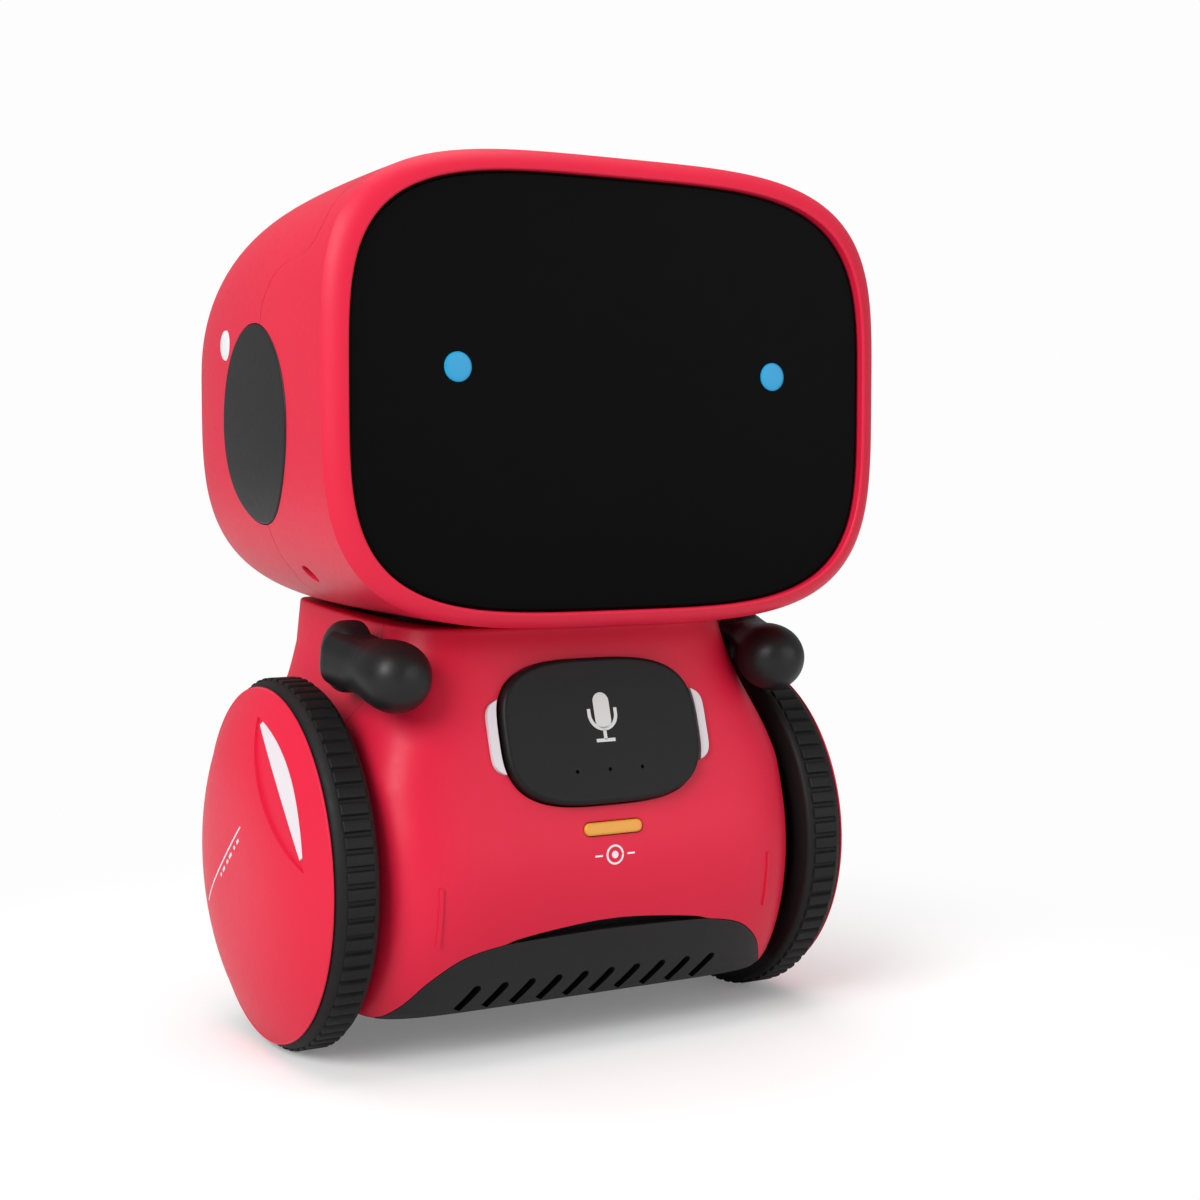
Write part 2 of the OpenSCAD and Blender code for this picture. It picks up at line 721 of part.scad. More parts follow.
module neck_washer() {
  color(white) place() translate([0, neck_y, 0]) difference() {
    rod_z(body_top, body_top + 0.75, 0, 0, 17.5, 64);
    rod_z(body_top - 1, body_top + 2, 0, 0, 9.4, 64);
  }
}

module body_screws() {
  color(steel) place() for (p = body_posts) both() {
    rod_y(-18, 14, p[0], p[1], 0.98, 24);
    difference() {
      rod_y(14, 16, p[0], p[1], 2.4, 24);
      translate([p[0], 16, p[1]]) for (a = [0, 90]) rotate([0, a, 0]) cube([3, 1.8, 0.6], center = true);
    }
  }
}

module base_screws() {
  color(steel) place() for (p = base_posts) both() {
    rod_z(10, 18, p[0], p[1], 0.98, 24);
    difference() {
      rod_z(8.7, 10, p[0], p[1], 2.3, 24);
      translate([p[0], p[1], 8.7]) for (a = [0, 90]) rotate([0, 0, a]) cube([3, 0.6, 1.4], center = true);
    }
  }
}

module caster_pin() { color(steel) place() rod_x(-7.2, 7.2, 26, 5, 0.9); }

module neck_harness() {
  color([0.7, 0.1, 0.1]) place() translate([0, neck_y, 0]) {
    for (a = [0:60:300]) rotate([0, 0, a]) rod_z(58, 92, 1.5, 0, 0.7, 16);
    rod_z(58, 92, 0, 0, 0.75, 16);
  }
}

module power_switch_case() {
  color(black) place() translate([0, 0, 27]) difference() {
    union() {
      block(-7, 7, 25, 30.8, -3, 3);
      block(-5, 5, 25, 33.4, -1.9, 1.9);
    }
    block(-4.2, 4.2, 29, 40, -1.15, 1.15);
  }
}

// ---- moving pieces ----
module chest_pad() {
  color(black) place() pad_frame() {
    skin([for (k = [[-1, 0], [0.7, 0], [1.05, 0.15], [1.3, 0.45], [1.4, 0.9]])
      [for (p = squircle(pad_hw - k[1], pad_hh - k[1], 3.2, 64)) [p[0], p[1], k[0]]]], false);
    translate([0, 0, -3]) cylinder(h = 2.5, r = 2, $fn = 32);
    for (s = [-1, 1]) translate([s * 12, 0, 0]) {
      translate([0, 0, -4.6]) cylinder(h = 4.2, r = 1.05, $fn = 24);
      translate([0, 0, -4.7]) cylinder(h = 0.95, r = 1.8, $fn = 24);
    }
  }
}

module rec_button() {
  color([0.93, 0.68, 0.2]) place() pill_frame() {
    translate([0, 0, -2.6]) linear_extrude(3.1) pill(pill_hw, 1.15);
    translate([0, 0, -3.6]) linear_extrude(0.8) pill(pill_hw + 0.9, 1.9);
    translate([0, 0, -4]) cylinder(h = 1.5, r = 1.1, $fn = 24);
  }
}

module power_slider() {
  color(white) place() translate([2, 0, 27]) {
    block(-1.9, 1.9, 29.3, 34.6, -1, 1);
    for (x = [-1.4, -0.2, 1]) block(x, x + 0.4, 34.5, 35, -0.9, 0.9);
  }
}

module battery_door() {
  color(black) place() difference() {
    union() {
      block(-29.7, 29.7, -20.2, 20.2, base_z, 9.6);
      rod_z(base_z, 9.6, 32.4, 0, 4.1);
      block(-25.8, 25.8, -15.6, 15.6, 9.5, 10.9);
    }
    rod_z(8, 9.9, 32.4, 0, 1.15, 24);
    rod_z(8, 8.9, 32.4, 0, 2.4);
    for (i = [-3:3]) block(-28.4, -26.6, i * 2 - 0.5, i * 2 + 0.5, 8, 8.8);
    for (x = [-17.4, 0, 17.4]) block(x - 7, x + 7, -14.4, 14.4, 9.7, 11.5);
  }
}

module door_screw() {
  color(steel) place() {
    rod_z(8.9, 15.5, 32.4, 0, 0.85, 24);
    difference() {
      rod_z(8.5, 9.5, 32.4, 0, 2.1, 24);
      rod_z(8.9, 9.6, 32.4, 0, 2.4, 24);
    }
  }
}

module caster_roller() {
  color([0.16, 0.16, 0.17]) place() translate([0, 26, 5]) rotate([90, 0, 90]) difference() {
    rotate_extrude($fn = 64)
      polygon([[0, -4.5], [4.4, -4.5], [4.85, -4.1], [5, -3.4], [5, 3.4], [4.85, 4.1], [4.4, 4.5], [0, 4.5]]);
    translate([0, 0, -6]) cylinder(h = 12, r = 0.96, $fn = 32);
  }
}

rib = 360 / rib_count;

module tyre() {
  along_x(0) {
    rotate_extrude($fn = 72)
      polygon([[27.4, tyre_in], [31.4, tyre_in], [32.1, tyre_in + 0.3], [32.5, tyre_in + 1],
        [32.5, tyre_out - 2.3], [32.3, tyre_out - 1.2], [31.9, tyre_out - 0.5], [31.2, tyre_out - 0.1],
        [30.6, tyre_out - 0.05], [30.6, 50], [27.4, 50]]);
    translate([0, 0, tyre_in + 1.2]) linear_extrude(tyre_out - tyre_in - 3) difference() {
      polygon([for (i = [0:rib_count - 1])
        for (k = [[-0.3, 32.42], [-0.22, tyre_r], [0.22, tyre_r], [0.3, 32.42]])
          let (t = -90 + rib * (i + k[0])) [k[1] * cos(t), k[1] * sin(t)]]);
      circle(r = 32, $fn = 72);
    }
  }
}

module hub() {
  along_x(0) difference() {
    rotate_extrude($fn = 72)
      polygon([[0, 44.2], [5, 44.2], [5, 46.4], [23.5, 46.4], [25.4, 44.2], [27.35, 44.2], [27.35, 49.9],
        [25.2, 49.9], [24, 48.4], [5.5, 48.4], [5.5, 51.5], [0, 51.5]]);
    translate([0, 0, 44]) cylinder(h = 5.9, r = axle_r, $fn = 48);
    for (a = [0:60:300]) rotate([0, 0, a]) translate([14.5, 0, 45]) cylinder(h = 5, r = 4.4, $fn = 48);
  }
}

cap_in = tyre_out + 0.05;

function dome(k, g) = cap_in + (cap_dome - g) * (1 - pow(k, 3));

module dome_solid(g, r) {
  rotate_extrude($fn = 96) polygon(concat([[0, cap_in], [r, cap_in]],
    [for (k = [0.99, 0.97, 0.94, 0.9, 0.84, 0.76, 0.66, 0.54, 0.4, 0.24, 0]) [r * k, dome(k, g)]]));
}

function leaf_edge(w, i0, i1, d) = [for (i = [i0:d:i1]) let (s = i / 8 - 1) [s * 16.4, w * (1 - s * s)]];

module leaf_place() { translate([-14.2, 14.9]) rotate([0, 0, 226.7]) children(); }
module leaf() { leaf_place() polygon(concat(leaf_edge(2.5, 0, 16, 1), leaf_edge(-5.9, 15, 1, -1))); }
module leaf_half() { leaf_place() polygon(concat(leaf_edge(-2.2, 1, 15, 1), leaf_edge(-5.75, 14, 2, -1))); }

module cap() {
  along_x(0) difference() {
    union() {
      dome_solid(0, cap_r);
      for (a = [30, 150, 270]) rotate([0, 0, a]) translate([19, 0, 48.5]) cylinder(h = 4, r = 2, $fn = 32);
    }
    translate([0, 0, cap_in - 0.1]) rotate_extrude($fn = 72)
      polygon([[0, 0], [29.6, 0], [29, 1], [26, 2.2], [21, 3.4], [14, 4.3], [0, 4.7]]);
    difference() {
      translate([0, 0, cap_in]) linear_extrude(10) leaf();
      dome_solid(0.75, cap_r - 0.5);
    }
  }
  along_x(0) for (a = [30, 150, 270]) rotate([0, 0, a]) translate([19, 0, 48.5])
    cylinder(h = 7, r = 1.8, $fn = 32);
}

module cap_insert() {
  along_x(0) difference() {
    intersection() {
      translate([0, 0, cap_in]) linear_extrude(10) leaf_half();
      dome_solid(0.2, cap_r);
    }
    dome_solid(0.72, cap_r - 0.5);
  }
}

module axle() { rod_x(31.2, 49.9, 0, 0, axle_r, 48); }

// involute gear, tooth centre at angle 0
function inv_pt(rb, r) = let (u = sqrt(max(0, (r / rb) * (r / rb) - 1)) * 180 / PI) u - atan(u * PI / 180);
function flank(z, r, play) = let (rp = gear_m * z / 2, rb = rp * cos(25))
  90 / z + inv_pt(rb, rp) - play / rp * 180 / PI - inv_pt(rb, max(r, rb));
module gear2d(z, play = 0.03) {
  rp = gear_m * z / 2;
  ri = rp - 0.64;
  ro = rp + 0.5;
  rs = [ri, max(ri, rp * cos(25)), rp - 0.1, rp + 0.2, ro];
  polygon([for (i = [0:z - 1]) each concat(
    [for (r = rs) let (t = 360 * i / z - flank(z, r, play)) [r * cos(t), r * sin(t)]],
    [for (k = [4:-1:0]) let (t = 360 * i / z + flank(z, rs[k], play)) [rs[k] * cos(t), rs[k] * sin(t)]])]);
}

module axle_gear() {
  along_x(36.9) difference() {
    union() {
      linear_extrude(2.4) rotate([0, 0, idler_dir + 180 / teeth_large]) gear2d(teeth_large);
      translate([0, 0, -3.2]) cylinder(h = 4, r = 2.1, $fn = 32);
    }
    translate([0, 0, -4]) cylinder(h = 8, r = axle_r, $fn = 48);
  }
}

module idler_gear() {
  translate([0, pin_y, pin_z]) along_x(34) difference() {
    union() {
      linear_extrude(2.4) gear2d(teeth_large);
      translate([0, 0, 2.4]) linear_extrude(3.1) rotate([0, 0, idler_dir + 180]) gear2d(teeth_small);
      translate([0, 0, -0.6]) cylinder(h = 1, r = 2, $fn = 32);
    }
    translate([0, 0, -2]) cylinder(h = 10, r = 1.06, $fn = 32);
  }
}

module pinion() {
  translate([0, motor_y, pin_z]) along_x(33.9) difference() {
    linear_extrude(2.6) rotate([0, 0, 180 + 180 / teeth_small]) gear2d(teeth_small);
    translate([0, 0, -2]) cylinder(h = 6, r = 1, $fn = 32);
  }
}

module tyre_left() { color(black) place() on_axle() tyre(); }
module tyre_right() { color(black) place() on_axle() mirror([1, 0, 0]) tyre(); }
module hub_left() { color(black) place() on_axle() hub(); }
module hub_right() { color(black) place() on_axle() mirror([1, 0, 0]) hub(); }
module cap_left() { color(red) place() on_axle() cap(); }
module cap_right() { color(red) place() on_axle() mirror([1, 0, 0]) cap(); }
module cap_insert_left() { color(white) place() on_axle() cap_insert(); }
module cap_insert_right() { color(white) place() on_axle() mirror([1, 0, 0]) cap_insert(); }
module axle_left() { color(steel) place() on_axle() axle(); }
module axle_right() { color(steel) place() on_axle() mirror([1, 0, 0]) axle(); }
module axle_gear_left() { color(white) place() on_axle() axle_gear(); }
module axle_gear_right() { color(white) place() on_axle() mirror([1, 0, 0]) axle_gear(); }
module idler_gear_left() { color(white) place() idler_gear(); }
module idler_gear_right() { color(white) place() mirror([1, 0, 0]) idler_gear(); }
module pinion_left() { color([0.8, 0.65, 0.3]) place() pinion(); }
module pinion_right() { color([0.8, 0.65, 0.3]) place() mirror([1, 0, 0]) pinion(); }
module motor_shaft_left() { color(steel) place() rod_x(4.2, 36.6, motor_y, pin_z, 1); }
module motor_shaft_right() { color(steel) place() mirror([1, 0, 0]) rod_x(4.2, 36.6, motor_y, pin_z, 1); }

arm_shape = [[0, 0], [5, 0], [4.95, 2], [4.85, 4], [4.8, 6], [4.85, 7.5], [5.1, 9], [5.5, 10.6], [5.85, 12.2],
  [6.08, 13.8], [hand_r, arm_len], [6, 16.8], [5.5, 18.3], [4.6, 19.6], [3.3, 20.7], [1.8, 21.3],
  [0, arm_len + hand_r]];
drum_shape = [[0, 30.6], [1.9, 30.6], [1.9, 32], [1.5, 32], [1.5, 37.2], [3, 37.3], [4.8, 37.7], [5.8, 38.1],
  [6.2, 38.7], [shoulder_r, 39.5], [shoulder_r, 41.2], [6.1, 42.2], [5.6, 43], [4.7, 43.8], [3.4, 44.4],
  [1.8, 44.7], [0, 44.8]];

module arm() {
  translate(shoulder) rotate([0, 0, -arm_in]) rotate([arm_down, 0, 0]) rotate([90, 0, 0])
    rotate_extrude($fn = 48) polygon(arm_shape);
  translate([0, shoulder[1], shoulder[2]]) rotate([0, 90, 0]) rotate_extrude($fn = 48) polygon(drum_shape);
}

module arm_left() { color(black) place() arm(); }
module arm_right() { color(black) place() mirror([1, 0, 0]) arm(); }

head_front_shell();
head_rear_shell();
face_panel();
eye_lenses();
eye_board();
eye_leds();
ear_disc_left();
ear_disc_right();
side_lights();
neck_tube();
neck_ring();
head_screws();
body_front_shell();
body_rear_shell();
base_plate();
chest_lights();
main_board();
board_chips();
microphone();
key_switches();
speaker();
drive_motors();
drive_frame_left();
drive_frame_right();
gear_pins();
batteries();
battery_contacts();
neck_washer();
body_screws();
base_screws();
caster_pin();
neck_harness();
power_switch_case();
chest_pad();
rec_button();
power_slider();
battery_door();
door_screw();
caster_roller();
tyre_left();
hub_left();
cap_left();
cap_insert_left();
axle_left();
axle_gear_left();
tyre_right();
hub_right();
cap_right();
cap_insert_right();
axle_right();
axle_gear_right();
idler_gear_left();
idler_gear_right();
pinion_left();
pinion_right();
motor_shaft_left();
motor_shaft_right();
arm_left();
arm_right();
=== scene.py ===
import json
import math

import bmesh
import bpy
import numpy as np
from mathutils import Matrix, Vector


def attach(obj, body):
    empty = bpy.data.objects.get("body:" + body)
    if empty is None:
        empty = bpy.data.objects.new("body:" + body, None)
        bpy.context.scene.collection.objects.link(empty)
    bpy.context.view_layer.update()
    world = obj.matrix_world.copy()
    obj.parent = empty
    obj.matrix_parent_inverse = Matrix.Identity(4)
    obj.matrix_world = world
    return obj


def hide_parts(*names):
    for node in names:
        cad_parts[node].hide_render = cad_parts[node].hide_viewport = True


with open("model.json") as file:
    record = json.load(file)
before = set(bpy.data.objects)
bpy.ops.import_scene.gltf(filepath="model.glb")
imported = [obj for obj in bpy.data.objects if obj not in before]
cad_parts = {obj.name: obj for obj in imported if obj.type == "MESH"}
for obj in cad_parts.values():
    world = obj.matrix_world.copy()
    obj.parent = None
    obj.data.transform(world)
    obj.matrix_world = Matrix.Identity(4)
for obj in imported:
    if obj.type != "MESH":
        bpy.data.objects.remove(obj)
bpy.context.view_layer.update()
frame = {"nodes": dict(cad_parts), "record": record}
nodes = frame["nodes"]
MM = 0.001
SIDES = {1: "left", -1: "right"}
SHARP_ANGLE = 28

# Lengths are in millimetres and angles in degrees. Depths (y) are measured from the wheel axis, which
# lies at AXLE_Y in the frame, and heights (z) from the floor.
AXLE_Y, AXLE_Z = -8.0, 33.0
NECK_Y, NECK_R = 8.0, 9.0


# ---------------------------------------------------------------- mesh tools
def make(name, verts, faces):
    """A mesh object from points in millimetres, with depths measured from the wheel axis."""
    co = (np.array(verts, float) + [0, AXLE_Y, 0]) * MM
    me = bpy.data.meshes.new(name)
    me.from_pydata(co.tolist(), [], [list(map(int, f)) for f in faces])
    me.update()
    ob = bpy.data.objects.new(name, me)
    bpy.context.scene.collection.objects.link(ob)
    return ob


def grid_faces(rows, cols):
    """Quads between rows of points, where each row closes on itself."""
    faces = []
    for j in range(rows - 1):
        a, b = j * cols, (j + 1) * cols
        for i in range(cols):
            k = (i + 1) % cols
            faces.append((a + i, a + k, b + k, b + i))
    return faces


def loft(name, rings):
    """A closed skin over rings of equal length, with a fan to the middle at each end."""
    rings = [np.array(r, float) for r in rings]
    cols = len(rings[0])
    verts = [p for r in rings for p in r]
    faces = grid_faces(len(rings), cols)
    for a, r in ((0, rings[0]), ((len(rings) - 1) * cols, rings[-1])):
        mid = len(verts)
        verts.append(r.mean(0))
        for i in range(cols):
            k = (i + 1) % cols
            faces.append((a + i, a + k, mid) if a else (a + k, a + i, mid))
    return outward(make(name, verts, faces))


def outward(ob):
    """Turns all faces of a closed mesh to the outside."""
    bm = bmesh.new()
    bm.from_mesh(ob.data)
    bmesh.ops.recalc_face_normals(bm, faces=bm.faces)
    bm.to_mesh(ob.data)
    bm.free()
    return ob


def lathe(name, profile, axis, steps=128, origin=(0, 0, 0)):
    """A turned solid. profile: (radius, distance along axis) pairs; both ends close on the axis."""
    ang = np.linspace(0, 2 * math.pi, steps, endpoint=False)
    rings = []
    for r, h in profile:
        c, s = r * np.cos(ang), r * np.sin(ang)
        full = np.full(steps, float(h))
        pts = {"x": (full, c, s), "y": (c, full, s), "z": (c, s, full)}[axis]
        rings.append(np.stack(pts, 1) + np.array(origin, float))
    return loft(name, rings)


def box(x0, x1, y0, y1, z0, z1):
    verts = [(x, y, z) for x in (x0, x1) for y in (y0, y1) for z in (z0, z1)]
    faces = [(0, 1, 3, 2), (4, 6, 7, 5), (0, 4, 5, 1), (2, 3, 7, 6), (0, 2, 6, 4), (1, 5, 7, 3)]
    return outward(make("box", verts, faces))


def rod(axis, a, b, u, v, r, steps=48):
    """A cylinder along axis from a to b; u and v are its other two coordinates in x, y, z order."""
    origin = {"x": (0, u, v), "y": (u, 0, v), "z": (u, v, 0)}[axis]
    return lathe("rod", [(r, a), (r, b)], axis, steps, origin)


def prism(name, outline, axis, a, b):
    """outline: 2-D points; extruded along axis from a to b."""
    out = np.array(outline, float)
    rings = []
    for h in (a, b):
        full = np.full(len(out), float(h))
        u, v = out[:, 0], out[:, 1]
        pts = {"x": (full, u, v), "y": (u, full, v), "z": (u, v, full)}[axis]
        rings.append(np.stack(pts, 1))
    n = len(out)
    verts = list(rings[0]) + list(rings[1])
    faces = grid_faces(2, n) + [tuple(range(n))[::-1], tuple(range(n, 2 * n))]
    return outward(make(name, verts, faces))


def in_frame(ob, matrix):
    """Takes a mesh built about the point (0, 0, 0) into the frame that matrix gives, in millimetres."""
    ob.data.transform(Matrix.Translation(Vector((0, -AXLE_Y * MM, 0))))
    m = matrix.copy()
    m.translation = (m.translation + Vector((0, AXLE_Y, 0))) * MM
    ob.data.transform(m)
    return ob


def mirrored(ob, name):
    """A copy on the robot's other side."""
    me = ob.data.copy()
    me.transform(Matrix.Scale(-1, 4, (1, 0, 0)))
    me.flip_normals()
    new = bpy.data.objects.new(name, me)
    bpy.context.scene.collection.objects.link(new)
    return new


def boolean(ob, op, *others):
    """Applies the others to ob one after another, and removes them."""
    for other in others:
        m = ob.modifiers.new("boolean", "BOOLEAN")
        m.operation = op
        m.solver = "MANIFOLD"
        m.object = other
        freeze(ob)
        if not len(ob.data.polygons):
            raise RuntimeError(f"boolean left nothing of {ob.name}")
    for other in others:
        bpy.data.objects.remove(other)
    return ob


def cut(ob, *others):
    return boolean(ob, "DIFFERENCE", *others)


def join(ob, *others):
    return boolean(ob, "UNION", *others)


def keep(ob, *others):
    return boolean(ob, "INTERSECT", *others)


def copy(ob):
    new = bpy.data.objects.new(ob.name, ob.data.copy())
    bpy.context.scene.collection.objects.link(new)
    return new


def both(ob):
    return ob, mirrored(ob, ob.name + "_m")


def freeze(ob):
    """Applies an object's modifiers."""
    depsgraph = bpy.context.evaluated_depsgraph_get()
    me = bpy.data.meshes.new_from_object(ob.evaluated_get(depsgraph))
    ob.modifiers.clear()
    old = ob.data
    ob.data = me
    bpy.data.meshes.remove(old)


def smooth(ob):
    """Smooth shading that keeps edges sharper than SHARP_ANGLE, with normals weighted by area."""
    me = ob.data
    me.shade_smooth()
    me.set_sharp_from_angle(angle=math.radians(SHARP_ANGLE))
    w = ob.modifiers.new("normals", "WEIGHTED_NORMAL")
    w.keep_sharp = True
    w.weight = 90
    freeze(ob)


def piece(ob, name, body, slot, material, *stands_for):
    """Makes a finished piece of a mesh: its body and material, and the CAD nodes it replaces. The slot
    argument is not used.
    """
    smooth(ob)
    ob.name = ob.data.name = name
    ob.data.materials.clear()
    ob.data.materials.append(material)
    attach(ob, body)
    if stands_for:
        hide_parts(*stands_for)
    return ob


# ---------------------------------------------------------------- materials
def material(name, colour, rough=0.4, vary=0.04, grain=600, bump=0.06, spots=0.03, **sockets):
    """Moulded plastic or metal: a little drift in colour and gloss, and a fine grain in the surface."""
    m = bpy.data.materials.new(name)
    m.use_nodes = True
    nt = m.node_tree
    bsdf = nt.nodes["Principled BSDF"]
    for key, value in sockets.items():
        bsdf.inputs[key.replace("_", " ")].default_value = value
    co = nt.nodes.new("ShaderNodeTexCoord")
    slow = nt.nodes.new("ShaderNodeTexNoise")
    slow.inputs["Scale"].default_value = 22
    slow.inputs["Detail"].default_value = 3
    fine = nt.nodes.new("ShaderNodeTexNoise")
    fine.inputs["Scale"].default_value = grain
    fine.inputs["Detail"].default_value = 6
    for n in (slow, fine):
        nt.links.new(co.outputs["Object"], n.inputs["Vector"])
    ramp = nt.nodes.new("ShaderNodeValToRGB")
    c = np.array(colour, float)
    lo, hi = c * (1 - vary), np.minimum(c * (1 + vary), 1)
    ramp.color_ramp.elements[0].position = 0.3
    ramp.color_ramp.elements[1].position = 0.7
    ramp.color_ramp.elements[0].color = (*lo, 1)
    ramp.color_ramp.elements[1].color = (*hi, 1)
    nt.links.new(slow.outputs["Fac"], ramp.inputs["Fac"])
    nt.links.new(ramp.outputs["Color"], bsdf.inputs["Base Color"])
    rr = nt.nodes.new("ShaderNodeMapRange")
    rr.inputs["From Min"].default_value = 0.3
    rr.inputs["From Max"].default_value = 0.7
    rr.inputs["To Min"].default_value = rough - spots
    rr.inputs["To Max"].default_value = rough + spots
    nt.links.new(fine.outputs["Fac"], rr.inputs["Value"])
    nt.links.new(rr.outputs["Result"], bsdf.inputs["Roughness"])
    bp = nt.nodes.new("ShaderNodeBump")
    bp.inputs["Strength"].default_value = bump
    bp.inputs["Distance"].default_value = 0.0001
    nt.links.new(fine.outputs["Fac"], bp.inputs["Height"])
    nt.links.new(bp.outputs["Normal"], bsdf.inputs["Normal"])
    return m


mats = {
    "red_shell": material("red_shell", (0.66, 0.012, 0.045), 0.42, 0.03, 900, 0.05, Specular_IOR_Level=0.25),
    "face_black": material(
        "face_black", (0.0018, 0.0018, 0.0021), 0.3, 0.1, 200, 0.01, 0.02, Specular_IOR_Level=0.03),
    "eye_blue": material("eye_blue", (0.0005, 0.30, 0.58), 0.35, 0.02, 400, 0.02),
    "board_green": material("board_green", (0.02, 0.12, 0.05), 0.4, 0.08, 500, 0.1),
    "led_white": material("led_white", (0.75, 0.76, 0.78), 0.3, 0.02, 400, 0.03),
    "dark_plastic": material(
        "dark_plastic", (0.0085, 0.0087, 0.0093), 0.4, 0.08, 1100, 0.12, 0.04, Specular_IOR_Level=0.3),
    "pad_black": material(
        "pad_black", (0.0085, 0.0086, 0.0088), 0.45, 0.08, 1100, 0.08, 0.03, Specular_IOR_Level=0.2),
    "white_plastic": material("white_plastic", (0.66, 0.62, 0.65), 0.4, 0.02, 700, 0.04),
    "gear_white": material("gear_white", (0.72, 0.72, 0.68), 0.5, 0.03, 500, 0.06),
    "pinion_brass": material("pinion_brass", (0.62, 0.42, 0.16), 0.3, 0.05, 300, 0.1, Metallic=1.0),
    "steel": material("steel", (0.5, 0.5, 0.52), 0.3, 0.05, 300, 0.12, Metallic=1.0),
    "motor_can": material("motor_can", (0.45, 0.46, 0.48), 0.32, 0.05, 300, 0.1, Metallic=1.0),
    "battery_blue": material("battery_blue", (0.04, 0.12, 0.38), 0.3, 0.05, 300, 0.03),
    "speaker_black": material("speaker_black", (0.03, 0.03, 0.03), 0.7, 0.1, 300, 0.3),
    "chip_black": material("chip_black", (0.012, 0.012, 0.012), 0.55, 0.1, 500, 0.1),
    "wire_red": material("wire_red", (0.4, 0.02, 0.02), 0.5, 0.06, 400, 0.1),
    "key_yellow": material("key_yellow", (0.76, 0.31, 0.03), 0.35, 0.03, 500, 0.03, Subsurface_Weight=0.1),
    "tyre_black": material(
        "tyre_black", (0.009, 0.009, 0.0093), 0.55, 0.1, 900, 0.2, 0.05, Specular_IOR_Level=0.2),
    "roller_dark": material("roller_dark", (0.03, 0.03, 0.032), 0.6, 0.08, 600, 0.15),
}
ear_dark = material(
    "ear_dark", (0.0105, 0.0107, 0.0114), 0.46, 0.06, 1100, 0.1, 0.03, Specular_IOR_Level=0.25)
mark_white = material("mark_white", (0.8, 0.72, 0.75), 0.45, 0.02, 900, 0.02)
icon_grey = material("icon_grey", (0.6, 0.6, 0.6), 0.45, 0.02, 900, 0.02)
slot_of = {row["node"]: row["material_slot"] for row in frame["record"]["subparts"]}
for node, ob in nodes.items():
    ob.data.materials.clear()
    ob.data.materials.append(mats[slot_of[node]])


# ---------------------------------------------------------------- forms shared with the CAD part
def curve(points, per=8):
    """A smooth line through the points (Catmull-Rom)."""
    p = np.array(points, float)
    q = np.vstack([2 * p[0] - p[1], p, 2 * p[-1] - p[-2]])
    out = []
    for i in range(1, len(q) - 2):
        for t in np.linspace(0, 1, per, endpoint=False):
            a, b, c, d = q[i - 1], q[i], q[i + 1], q[i + 2]
            bend, twist = 2 * a - 5 * b + 4 * c - d, 3 * b - a - 3 * c + d
            out.append(0.5 * (2 * b + (c - a) * t + bend * t * t + twist * t**3))
    out.append(p[-1])
    return np.array(out)


def eased(x, table):
    """Looks x up in a smooth curve through the table."""
    c = curve(table, 12)
    return np.interp(x, c[:, 0], c[:, 1])


def super_ring(a, up, down, n, count):
    """Points round a rounded rectangle (a superellipse of power n), spread evenly along its sides."""
    q = count // 4
    i = np.arange(count)
    v = (i % q) / q
    s = v ** (n / 2) / (v ** (n / 2) + (1 - v) ** (n / 2))
    t = (i // q + s) * math.pi / 2
    c, s = np.cos(t), np.sin(t)
    c, s = np.where(abs(c) < 1e-9, 0, c), np.where(abs(s) < 1e-9, 0, s)
    u = np.sign(c) * abs(c) ** (2 / n) * a
    w = np.sign(s) * abs(s) ** (2 / n)
    return u, np.where(w >= 0, w * up, w * down)


HEAD_FRONT, HEAD_BACK, HEAD_Z = -38.0, 54.0, 117.2
BEZEL_BACK = -35.5
FACE_Z, FACE_W, FACE_H, FACE_N = 115.5, 50.7, 36.8, 3.9
POCKET_Y, POCKET_GAP, LIP_R = -34.4, 0.15, 0.4
EYE_X, EYE_Z, EYE_R = 31.3, 119.5, 2.5
EAR_Y, EAR_Z, EAR_R = -2.5, 110.6, 17.3
EAR_PROUD = 0.25
LAMP_Y, LAMP_Z, LAMP_R = 13.8, 125.2, 2.75
SIDE_SCREW_Y, SIDE_SCREW_Z, SIDE_SCREW_TILT = -11.9, 84.8, 129.8
HEAD_POSTS = [(37, 97), (31, 138)]
POST_R, POST_WELL_R, SCREW_HOLE_R = 3.7, 2.7, 1.15


def head_dims(y):
    """The head's section at a depth: half-width, height above and below HEAD_Z, and roundness."""
    t = 0.997 * np.clip((y - HEAD_FRONT) / (HEAD_BACK - HEAD_FRONT), 0, 1)

    def narrowed(taper, power):
        return (1 - taper * t * t) * (1 - t**6.1) ** (1 / power)

    return 54.8 * narrowed(0.082, 8), 38.8 * narrowed(0.083, 1.2), 41.4 * narrowed(0.011, 8), 3.83 - 0.41 * t


def head_ring(y, inset=0.0, at=None, count=256):
    a, up, down, n = head_dims(y)
    x, z = super_ring(a - inset, up - inset, down - inset, n, count)
    return np.stack([x, np.full(count, y if at is None else at), z + HEAD_Z], 1)


def head_side(y, z):
    """How far out the head's side is at a depth and height."""
    a, up, down, n = head_dims(y)
    d = abs(z - HEAD_Z) / np.where(z > HEAD_Z, up, down)
    return a * (1 - d**n) ** (1 / n)


def rounded(a, b, n, count=192):
    """The outline of a rounded rectangle with half-width a and half-height b."""
    return np.stack(super_ring(a, b, b, n, count), 1)


def flat_ring(a, b, n, z, count=128):
    x, y = super_ring(a, b, b, n, count)
    return np.stack([x, y, np.full(count, float(z))], 1)


def capsule(half, r, count=24):
    """The outline of a bar with round ends, along x."""
    out = []
    for sx, a0 in ((1, -90), (-1, 90)):
        for a in np.radians(np.linspace(a0, a0 + 180, count)):
            out.append((sx * (half - r) + r * math.cos(a), r * math.sin(a)))
    return np.array(out)


